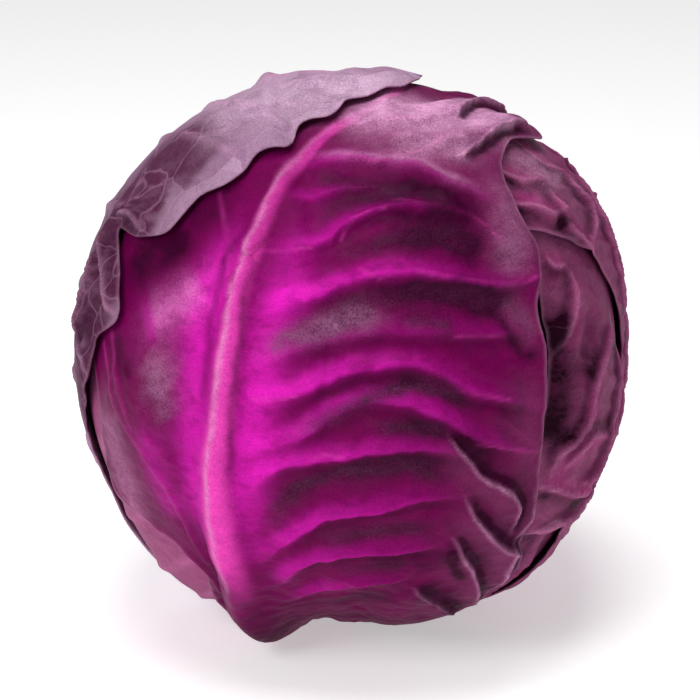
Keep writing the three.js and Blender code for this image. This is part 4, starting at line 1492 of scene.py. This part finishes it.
# Its single strokes: places, half-width, strength, and for some the shares along it and the shift
FRONT_TOUCHES = {
    Tint.GLOW: (
        (BESIDE_RIB, 6.5, 0.75, (0.4, 1, 1, 0.6)),
        (WEST_OF_RIB, 6.5, 0.75),
        (((-44, 9), (-38, 13), (-33, 16), (-28, 22)), 7.0, 0.45),
        (((-42, -8), (-42, -18), (-40, -28)), 5.0, 0.35),
    ),
    # Painted shade: the grooves beside the midrib, the foot and the bottom, the shadow under the wrapper's
    # edge, and darker hollows, creases and folds
    Tint.SHADE: (
        (((-22, 31), (-25, 26), (-26, 19), (-27, 13), (-27, 6), (-29, -6)), 1.6, 0.5),
        (((-19, 26), (-20, 17), (-20, 11), (-21, 5), (-22, -8), (-24, -22)), 1.0, 0.5),
        (FRONT_FOOT, 12.0, 0.35, (1, 1, 1, 0.8, 0.2)),
        (((-60, -56), (-36, -66), (0, -66), (30, -60), (52, -54)), 10.0, 0.5),
        (((-3, 15), (2, 13), (8, 10)), 4.0, 0.25),
        (((-54, 25), (-47, 21), (-41, 22), (-36, 30)), 6.0, 0.75),
        (((-53, 8), (-50, 4), (-46, 1)), 3.5, 0.7),
        (((-35, -24), (-37, -36), (-38, -48), (-44, -58)), 5.0, 0.3),
        (((-8, 43), (4, 42), (14, 40), (22, 36), (28, 31)), 2.0, 0.5),
        (((-54, 27), (-44, 27), (-38, 31), (-31, 37), (-27, 41)), 6.0, 0.6),
        (((18, 21), (22, 17), (30, 15)), 5.0, 0.5),
        (((6, 34), (14, 30), (22, 27), (28, 24)), 5.5, 0.45),
        (((28, 14), (31, 10), (34, 6), (38, 6)), 1.6, 0.8),
        (((10, -42), (20, -46), (34, -46)), 8.0, 0.3),
        (((14, -37), (20, -35), (24, -31)), 3.5, 0.5),
        (((18, 38), (24, 31), (27, 24)), 5.0, 0.5),
        (((22, -31), (26, -37), (30, -41)), 1.5, 1.0, (1,), -1.0),
        (((18, -44), (28, -50), (38, -55)), 1.5, 1.0, (1,), 1.0),
    ),
    # Light marks: a painted highlight along the midrib's lit side and on crests, paler patches on the west
    # side, and lighter towards the top
    Tint.PALE: (
        (FRONT_RIB, 1.1, 0.5, (0, 0.5, 1, 1, 0.8, 0.3, 0.2), 1.4),
        (((-56, -6), (-55, -20), (-58, -36)), 6.0, 0.3),
        (((-42, 6), (-38, 3), (-34, 0)), 6.0, 0.2),
        (((-42, 12), (-36, 15), (-30, 20)), 6.0, 0.3),
        (((-4, 66), (20, 62), (40, 58), (60, 55)), 12.0, 1.4, (0.7, 1, 1, 0.9)),
        (((-10, 49), (4, 48), (14, 46), (22, 42), (30, 37)), 2.0, 0.4),
        (((34, 52), (46, 54), (60, 56), (72, 54)), 4.0, 0.6),
        (((12, 50), (24, 48), (34, 46)), 4.5, 0.5),
        (((36, 40), (35, 33), (34, 26), (33, 20)), 4.5, 0.1),
        (((6, 14), (0, 14), (-8, 12)), 3.0, 0.3),
    ),
    Tint.BLOOM: (
        (((-42, 1), (-38, -3), (-36, -7)), 5.0, 0.7),
        (((35, 34), (34, 28), (33, 20)), 5.0, 0.55),
        (((30, 16), (34, 12), (37, 8)), 3.5, 0.35),
    ),
    Tint.DUSK: (
        (((-53, 0), (-51, -14), (-48, -24), (-50, -36), (-55, -48)), 12.0, 0.85),
        (((-6, 68), (13, 66), (32, 64), (47, 60), (56, 54)), 12.0, 1.0),
        (((17, 55), (30, 54), (40, 50)), 8.0, 0.8),
        (((36, 42), (35, 33), (34, 28), (32, 20)), 6.5, 1.0),
        (((30, 17), (34, 13), (37, 8)), 4.0, 0.9),
        (((36, 4), (34, -4), (35, -12), (34, -20), (35, -30), (40, -44)), 7.0, 0.8),
    ),
}


def crease_ribs(lines: tuple[tuple[Place, ...], ...]) -> list[RibLine]:
    """Thin raised crests along sharp creases, drawn pale as painted highlights."""
    return [RibLine(places, (0.1, 0.45, 0.3, 0.1), (0.6, 0.9, 0.6), 0.6) for places in lines]


def crease_pleats(lines: tuple[tuple[Place, ...], ...]) -> list[Pleat]:
    """The folds that sharp creases are the crests of."""
    return [Pleat(places, 2.4, 2.6, steep=1.7, crisp=0.85) for places in lines]


def crease_strokes(lines: tuple[tuple[Place, ...], ...]) -> list[Stroke]:
    """The colours of sharp creases: a painted highlight on the crest, painted light on its left flank and
    painted shade in the hollow to its right.
    """
    strokes = [Stroke(Tint.PALE, places, 0.5, 0.6, (0.3, 1, 0.6, 1, 0.3)) for places in lines]
    strokes += [Stroke(Tint.GLOW, places, 3.0, 0.45, shift=1.8) for places in lines]
    strokes += [Stroke(Tint.SHADE, places, 2.0, 0.6, shift=-2.4) for places in lines]
    return strokes


def front_strokes() -> list[Stroke]:
    """The front leaf's colours: ridges with painted light above and painted shade below, valleys with painted
    shade, shadows painted under its flaps and laps, bloom, and dull edges.
    """
    strokes = [stroke for ridge in FRONT_RIDGES for stroke in ridge.strokes()]
    for places, width, dark, bloom in FRONT_VALLEYS:
        strokes += [
            Stroke(Tint.SHADE, places, width, dark, (0.3, 0.8, 1, 1)),
            Stroke(Tint.BLOOM, places, width, bloom),
        ]
    # Each low flap: its dull flap, a painted highlight on its rim and a painted shadow past it
    for places, _, _ in LOW_FLAPS:
        strokes += [
            Stroke(Tint.DUSK, places, 4.0, 0.7, shift=3.0),
            Stroke(Tint.PALE, places, 0.55, 0.6, shift=0.3),
            Stroke(Tint.SHADE, places, 1.0, 1.2, shift=-1.6),
            Stroke(Tint.SHADE, places, 3.0, 0.5, shift=-3.0),
        ]
    # Each top lap: a painted highlight on its rim and a deep painted shadow under it
    for places in TOP_LAPS:
        strokes += [
            Stroke(Tint.PALE, places, 0.55, 0.6, shift=0.3),
            Stroke(Tint.SHADE, places, 1.3, 1.2, (0.3, 1, 1, 1, 0.7), shift=-1.4),
        ]
    strokes += [Stroke(tint, *touch) for tint, touches in FRONT_TOUCHES.items() for touch in touches]
    return strokes


EAST_CREASES = (
    ((70, 11), (62, 5), (55, -2), (54, -8), (51, -12), (47, -15), (46, -20)),
    ((67, -14), (56, -12), (53, -14), (49, -18)),
    ((41, -21), (50, -23), (59, -25), (68, -25)),
    ((70, -8), (67, -18), (64, -22), (57, -23)),
    ((71, -25), (66, -29), (56, -31), (48, -33)),
    ((52, 20), (50, 15), (47, 8), (43, 2)),
    ((46, 24), (47, 22), (51, 22)),
    ((76, 16), (72, 4), (70, -6), (66, -14)),
)
UPPER_EAST_CREASES = (
    ((36, 45), (43, 41), (49, 39), (56, 39)),
    ((38, 35), (44, 34), (49, 31), (56, 33)),
    ((66, 41), (67, 37), (71, 32), (66, 28), (59, 24)),
    ((52, 38), (54, 33), (53, 29), (58, 25), (61, 22)),
    ((50, 56), (58, 50), (62, 44), (74, 38)),
    ((80, 40), (78, 30), (76, 20), (80, 8)),
    ((88, 48), (86, 34), (86, 18), (88, 0), (86, -20)),
)
WRAPPER_TOP = ((-60, 56), (-46, 60), (-20, 66), (0, 73), (30, 76))
WRAPPER_CREASES = (
    ((-63, 31), (-56, 31), (-49, 28)),
    ((-68, 26), (-59, 21), (-54, 14), (-51, 12)),
    ((-65, 19), (-65, 13), (-67, 7), (-64, 3), (-61, -1)),
    ((-65, 23), (-63, 19), (-63, 15)),
)


LEAVES = (
    Leaf(
        name="inner_east_leaf",
        node="leaf_inner_east",
        slot="leaf_dark",
        finish=DARK,
        shape=INNER_EAST,
        rows=108,
        columns=(36, 36),
        edge_lift=0.5,
        over_gap=False,
        ribs=[
            midrib(INNER_EAST, (3, 0.5), (5, 2)),
            *lateral_veins(INNER_EAST, 0, (0.5, 1.5, 2.5, 3.5, 4.5, 5.5), (1.2, 0.4), (2.0, 1.2), 0.5),
            *lateral_veins(INNER_EAST, 2, (0.5, 1.5, 2.5, 3.5, 4.5, 5.5), (1.2, 0.4), (2.0, 1.2), 0.5),
        ],
        pleats=[
            Pleat(((41, 24), (49, 23), (50, 21), (43, 18), (42, 13), (40, 10)), 1.6, 1.4),
            Pleat(((40, 20), (43, 15), (42, 8), (43, 0)), 1.2, 1.6),
        ],
        # Painted shade in the gap beside the front leaf
        strokes=[Stroke(Tint.SHADE, ((42, 24), (43, 8), (44, -6), (44, -20)), 8.0, 0.9)],
        crumple=1.2,
        crumple_size=10.0,
    ),
    Leaf(
        name="west_leaf",
        node="leaf_west",
        slot="leaf_rose",
        finish=ROSE,
        shape=WEST,
        rows=108,
        columns=(48, 48),
        edge_lift=0.8,
        over_gap=False,
        ribs=[
            midrib(WEST, (3.5, 0.6), (5.5, 2)),
            *lateral_veins(WEST, 2, (0.6, 1.2, 2.0, 2.8, 3.6), (1.6, 0.5), (2.6, 1.4)),
            *lateral_veins(WEST, 0, (0.9, 1.8, 2.8), (1.6, 0.5), (2.6, 1.4)),
        ],
        crumple=0.35,
        # Lighter all over: painted light where the head's own shadow would leave it dark
        even={Tint.GLOW: 0.3, Tint.PALE: 0.15},
    ),
    Leaf(
        name="east_leaf",
        node="leaf_east",
        slot="leaf_rose",
        finish=ROSE,
        shape=EAST,
        rows=240,
        columns=(120, 54),
        edge_lift=0.6,
        over_gap=False,
        ribs=[
            midrib(EAST, (3.5, 0.6), (5, 2)),
            *lateral_veins(EAST, 0, tuple(0.5 + k for k in range(9)), (1.3, 0.5), (2.2, 1.0), 0.1),
            *lateral_veins(EAST, 2, (1, 2.5, 4, 5.5, 7), (1.3, 0.5), (2.2, 1.0), 0.1),
            *crease_ribs(EAST_CREASES),
        ],
        pleats=[
            *crease_pleats(EAST_CREASES),
            Pleat(((56, 14), (54, 6), (50, 0)), -1.6, 3.5),
        ],
        strokes=[
            *crease_strokes(EAST_CREASES),
            # Painted shade in the gap beside the front leaf and in a hollow
            Stroke(Tint.SHADE, ((41, 14), (43, 4), (44, -4), (43, -14)), 8.0, 1.3),
            Stroke(Tint.SHADE, ((58, 12), (55, 5), (52, -1)), 5.0, 0.4),
            Stroke(Tint.DUSK, ((70, 14), (74, 0), (64, -14)), 12.0, 0.4),
        ],
        crumple=0.8,
        crumple_size=14.0,
    ),
    Leaf(
        name="upper_east_leaf",
        node="leaf_upper_east",
        slot="leaf_rose",
        finish=ROSE,
        shape=UPPER_EAST,
        rows=270,
        columns=(144, 45),
        edge_lift=0.4,
        ribs=[
            midrib(UPPER_EAST, (3.5, 0.6), (5, 2)),
            *lateral_veins(UPPER_EAST, 0, (1, 2, 3, 4, 5, 6, 7, 8, 9), (1.5, 0.5), (2.4, 1.0), 0.15),
            *crease_ribs(UPPER_EAST_CREASES),
        ],
        pleats=[
            *crease_pleats(UPPER_EAST_CREASES),
            Pleat(((46, 40), (56, 44), (66, 42)), -1.4, 2.6),
        ],
        strokes=[
            *crease_strokes(UPPER_EAST_CREASES),
            # Painted shade beside the front leaf's edge
            Stroke(Tint.SHADE, ((40, 42), (38, 34), (42, 29)), 4.0, 0.5),
            Stroke(Tint.DUSK, ((50, 44), (60, 38), (66, 30)), 10.0, 0.8),
            Stroke(Tint.BLOOM, ((48, 46), (56, 42), (60, 36)), 7.0, 0.9),
        ],
        crumple=1.0,
        crumple_size=13.0,
    ),
    Leaf(
        name="back_leaf",
        node="leaf_back",
        slot="leaf_magenta",
        finish=MAGENTA,
        shape=BACK,
        rows=270,
        columns=(72, 96),
        edge_lift=1.0,
        ribs=[
            midrib(BACK, (4.5, 0.8), (6, 2.2)),
            *lateral_veins(BACK, 0, (0.8, 2, 3.2, 4.5, 5.8, 7.2, 8.5, 9.8), (2.2, 0.7), (3.2, 1.4), 0.5),
            *lateral_veins(BACK, 2, (1.2, 2.5, 3.8, 5.2, 6.6, 8.0, 9.4), (2.2, 0.7), (3.2, 1.4), 0.5),
        ],
        crumple=0.7,
        crumple_size=11.0,
        even={Tint.GLOW: 0.3, Tint.SHADE: 0.12, Tint.BLOOM: 0.3, Tint.DUSK: 0.25},
    ),
    Leaf(
        name="front_leaf",
        node="leaf_front",
        slot="leaf_magenta",
        finish=MAGENTA,
        shape=FRONT,
        rows=336,
        columns=(96, 168),
        edge_lift=0.7,
        ribs=[
            midrib(FRONT, (6, 5, 3.8, 2.4, 1.6, 1), (6.8, 5.6, 4.4, 3.4, 2.6, 1.6)),
            *(RibLine(places, (0.9, 0.4), (1.2, 0.8), 0.4) for places in FRONT_WEST_VEINS),
            *(RibLine(places, (0.0, 0.5, 0.4, 0.0), (0.6, 0.7, 0.5), 0.6) for places in FRONT_CREST_LINES),
        ],
        pleats=[
            *(ridge.pleat() for ridge in FRONT_RIDGES),
            *(Pleat(places, height, width, steep=1.8, crisp=0.5) for places, height, width in FRONT_FOLDS),
            *(Lap(places, height, reach) for places, height, reach in LOW_FLAPS),
            *(Lap(places, 3.0, 10.0) for places in TOP_LAPS),
        ],
        strokes=front_strokes(),
        swell=(1.2, 0.4),
        crumple=0.5,
        crumple_size=8.0,
    ),
    Leaf(
        name="wrapper_leaf",
        node="leaf_wrapper",
        slot="leaf_mauve",
        finish=MAUVE,
        shape=WRAPPER,
        rows=330,
        columns=(72, 144),
        edge_lift=0.6,
        ribs=[
            midrib(WRAPPER, (5.5, 0.8), (6.5, 2.2)),
            *lateral_veins(WRAPPER, 2, (2, 4.5, 7, 9.5, 12, 14), (1.5, 0.7), (2.6, 1.4), 0.6),
            *lateral_veins(WRAPPER, 0, (1, 3, 5.5, 8, 10.5, 13), (2.0, 0.7), (3.2, 1.6), 0.6),
            *crease_ribs(WRAPPER_CREASES),
        ],
        pleats=[Pleat(places, 1.6, 1.6, 1.5, 0.5) for places in WRAPPER_CREASES],
        strokes=[
            Stroke(Tint.DUSK, ((-88, -20), (-80, 10), (-72, 28), (-58, 40), (-46, 42)), 24.0, 0.75),
            Stroke(Tint.SHADE, ((-66, 0), (-62, 14), (-56, 26), (-46, 32)), 10.0, 0.5),
            Stroke(Tint.DUSK, ((-80, 45), (-66, 52), (-60, 60)), 20.0, 0.4),
            Stroke(Tint.DUSK, ((-48, 38), (-54, 28), (-58, 16), (-62, 4), (-66, -8), (-70, -20)), 14.0, 1.3),
            Stroke(Tint.DUSK, ((-60, 50), (-46, 44), (-38, 42)), 12.0, 0.6),
            Stroke(Tint.BLOOM, WRAPPER_TOP, 14.0, 0.55, (0.7, 0.8, 1, 1)),
            *(Stroke(Tint.CRUMPLE, places, 5.0, 1.4) for places in WRAPPER_CREASES),
            *(Stroke(Tint.PALE, places, 0.7, 0.8) for places in WRAPPER_CREASES),
        ],
        swell=(0.8, 1.7),
        crumple=0.4,
    ),
)


@dataclass
class Head:
    """The whole head: its leaves, from the innermost to the outermost, its stem and its packed heart."""

    leaves: tuple[Leaf, ...] = LEAVES

    def build(self) -> None:
        """Build every piece and dress it."""
        dyer = LeafDyer()
        ribs = rib_tree()
        skins = {finish: dyer.material(finish) for finish in (MAGENTA, MAUVE, ROSE, DARK)}
        for leaf in self.leaves:
            made = leaf.build(self, ribs, skins[leaf.finish])
            log.info("%s: %d faces", made.name, len(made.data.polygons))
        stub = Stem().build()
        log.info("%s: %d faces", stub.name, len(stub.data.polygons))
        heart = bpy.data.objects["heart"]
        heart.data.materials.clear()
        heart.data.materials.append(skins[DARK])
        log.info("heart: the packed solid, with a leaf's skin")


@dataclass
class Stem:
    """The cut stem stub under the head: a short cone with a flat, ringed cut face."""

    radius: float = 14.46
    height: float = 20.0
    narrowing: float = math.tan(math.radians(10.0))
    sides: int = 96
    bevel: float = 0.5

    def build(self) -> bpy.types.Object:
        """Build the stub and hand it to the frame."""
        outline = [
            (0.0, 0.0),
            (self.radius * 0.35, 0.0),
            (self.radius * 0.7, 0.0),
            (self.radius - self.bevel, 0.0),
            (self.radius, self.bevel),
            (self.radius - 0.5 * self.height * self.narrowing, 0.5 * self.height),
            (self.radius - self.height * self.narrowing, self.height),
            (0.0, self.height),
        ]
        turn = np.linspace(0, 2 * math.pi, self.sides, endpoint=False)
        uneven = 1 - 0.012 * (1 + np.sin(5 * turn + 1.0) * np.sin(3 * turn))
        points = [(0.0, 0.0, outline[0][1])]
        for radius, z in outline[1:-1]:
            points += [(r * math.cos(t), r * math.sin(t), z) for r, t in zip(radius * uneven, turn)]
        points.append((0.0, 0.0, self.height))
        rings = len(outline) - 2
        faces = []
        for k in range(self.sides):
            ahead = (k + 1) % self.sides
            faces.append((0, 1 + ahead, 1 + k))
            for ring in range(rings - 1):
                low, high = 1 + ring * self.sides, 1 + (ring + 1) * self.sides
                faces.append((low + k, low + ahead, high + ahead, high + k))
            top = 1 + (rings - 1) * self.sides
            faces.append((top + k, top + ahead, len(points) - 1))
        made = mesh_object("stem_stub", np.array(points) * METRE, [], faces)
        made.data.materials.append(self.material())
        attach(made, "root")
        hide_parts("stem")
        return made

    def material(self) -> bpy.types.Material:
        """Pale fibrous flesh with a browned rim."""
        made = bpy.data.materials.new("cut stem")
        made.use_nodes = True
        n = Nodes(made.node_tree)
        place = n.add("ShaderNodeTexCoord").outputs["Object"]
        parts = n.add("ShaderNodeSeparateXYZ", {0: place}).outputs
        east, north = (n.math("MULTIPLY", part, part) for part in (parts[0], parts[1]))
        off = n.math("DIVIDE", n.math("SQRT", n.math("ADD", east, north)), self.radius * METRE)
        fibre = n.add("ShaderNodeTexNoise", {"Vector": place, "Scale": 900.0, "Detail": 4.0}).outputs["Fac"]
        blot = n.add("ShaderNodeTexNoise", {"Vector": place, "Scale": 180.0, "Detail": 3.0}).outputs["Fac"]
        ring = n.add(
            "ShaderNodeMapRange",
            {"Value": n.math("MULTIPLY_ADD", blot, 0.16, off), "From Min": 0.82, "From Max": 1.0},
            interpolation_type="SMOOTHSTEP",
        ).outputs[0]
        colour = n.mix(n.math("MULTIPLY", blot, 0.7), linear(222, 208, 190), linear(190, 160, 150))
        colour = n.mix(n.math("MULTIPLY", ring, 0.8), colour, linear(140, 88, 104))
        bump = n.add("ShaderNodeBump", {"Height": fibre, "Strength": 0.4, "Distance": 0.0004})
        n.surface({"Base Color": colour, "Roughness": 0.7, "Normal": bump.outputs[0]})
        return made


@dataclass
class Studio:
    """The pale floor, the soft lights and the camera.

    Attributes:
        distance: the camera's distance from the head's middle, in metres.
        elevation: how far the camera looks down, in degrees.
        lens: its focal length, in mm.
        sensor: its sensor's width, in mm.
        shift: how far the head's middle lies below the middle of the picture, as a share of its width.
    """

    distance: float = 0.703
    elevation: float = 18.0
    lens: float = 120.0
    sensor: float = 36.0
    shift: float = 0.0014

    def floor(self) -> None:
        """Lay the floor."""
        half = 4.0
        corners = [(-half, -half, 0.0), (half, -half, 0.0), (half, half, 0.0), (-half, half, 0.0)]
        made = mesh_object("floor", np.array(corners), [], [(0, 1, 2, 3)])
        paint = bpy.data.materials.new("pale floor")
        paint.use_nodes = True
        skin = paint.node_tree.nodes["Principled BSDF"]
        skin.inputs["Base Color"].default_value = (0.92, 0.92, 0.92, 1)
        skin.inputs["Roughness"].default_value = 0.9
        skin.inputs["Specular IOR Level"].default_value = 0.1
        skin.inputs["Emission Color"].default_value = (1, 1, 1, 1)
        skin.inputs["Emission Strength"].default_value = 0.42
        made.data.materials.append(paint)

    def lamp(self, name: str, place: Place, size: float, power: float) -> None:
        """Hang a square soft light that faces the head's middle.

        Args:
            name: its name.
            place: where it hangs, in metres.
            size: the length of its side, in metres.
            power: its power in watts.
        """
        data = bpy.data.lights.new(name, "AREA")
        data.shape = "SQUARE"
        data.size = size
        data.energy = power
        made = bpy.data.objects.new(name, data)
        made.location = place
        aim = Vector((0, 0, MIDDLE_HEIGHT * METRE)) - Vector(place)
        made.rotation_mode = "QUATERNION"
        made.rotation_quaternion = aim.to_track_quat("-Z", "Y")
        bpy.context.scene.collection.objects.link(made)

    def lights(self) -> None:
        """Hang the lights and lighten the room."""
        self.lamp("key softbox", (-0.6, -0.8, 0.75), 0.45, 5.5)
        self.lamp("top softbox", (-0.05, -0.2, 1.25), 0.6, 9.0)
        self.lamp("front fill", (0.5, -1.2, 0.35), 0.8, 1.0)
        world = bpy.data.worlds.new("room")
        world.use_nodes = True
        back = world.node_tree.nodes["Background"]
        back.inputs[0].default_value = (1, 1, 1, 1)
        back.inputs[1].default_value = 0.28
        bpy.context.scene.world = world

    def camera(self) -> None:
        """Set up the camera."""
        data = bpy.data.cameras.new("camera")
        data.lens = self.lens
        data.sensor_width = self.sensor
        data.shift_y = self.shift
        made = bpy.data.objects.new("camera", data)
        e = math.radians(self.elevation)
        back = Vector((0, -math.cos(e), math.sin(e)))
        made.location = Vector((0, 0, MIDDLE_HEIGHT * METRE)) + back * self.distance
        made.rotation_mode = "QUATERNION"
        made.rotation_quaternion = (-back).to_track_quat("-Z", "Y")
        bpy.context.scene.collection.objects.link(made)
        bpy.context.scene.camera = made

    def build(self) -> None:
        """Set up the whole studio."""
        self.floor()
        self.lights()
        self.camera()
        bpy.context.scene.view_settings.view_transform = "Standard"


def main() -> None:
    """Build the head and the studio round it."""
    logging.basicConfig(level=logging.INFO, format="%(message)s")
    Studio().build()
    Head().build()


if __name__ == "__main__":
    main()
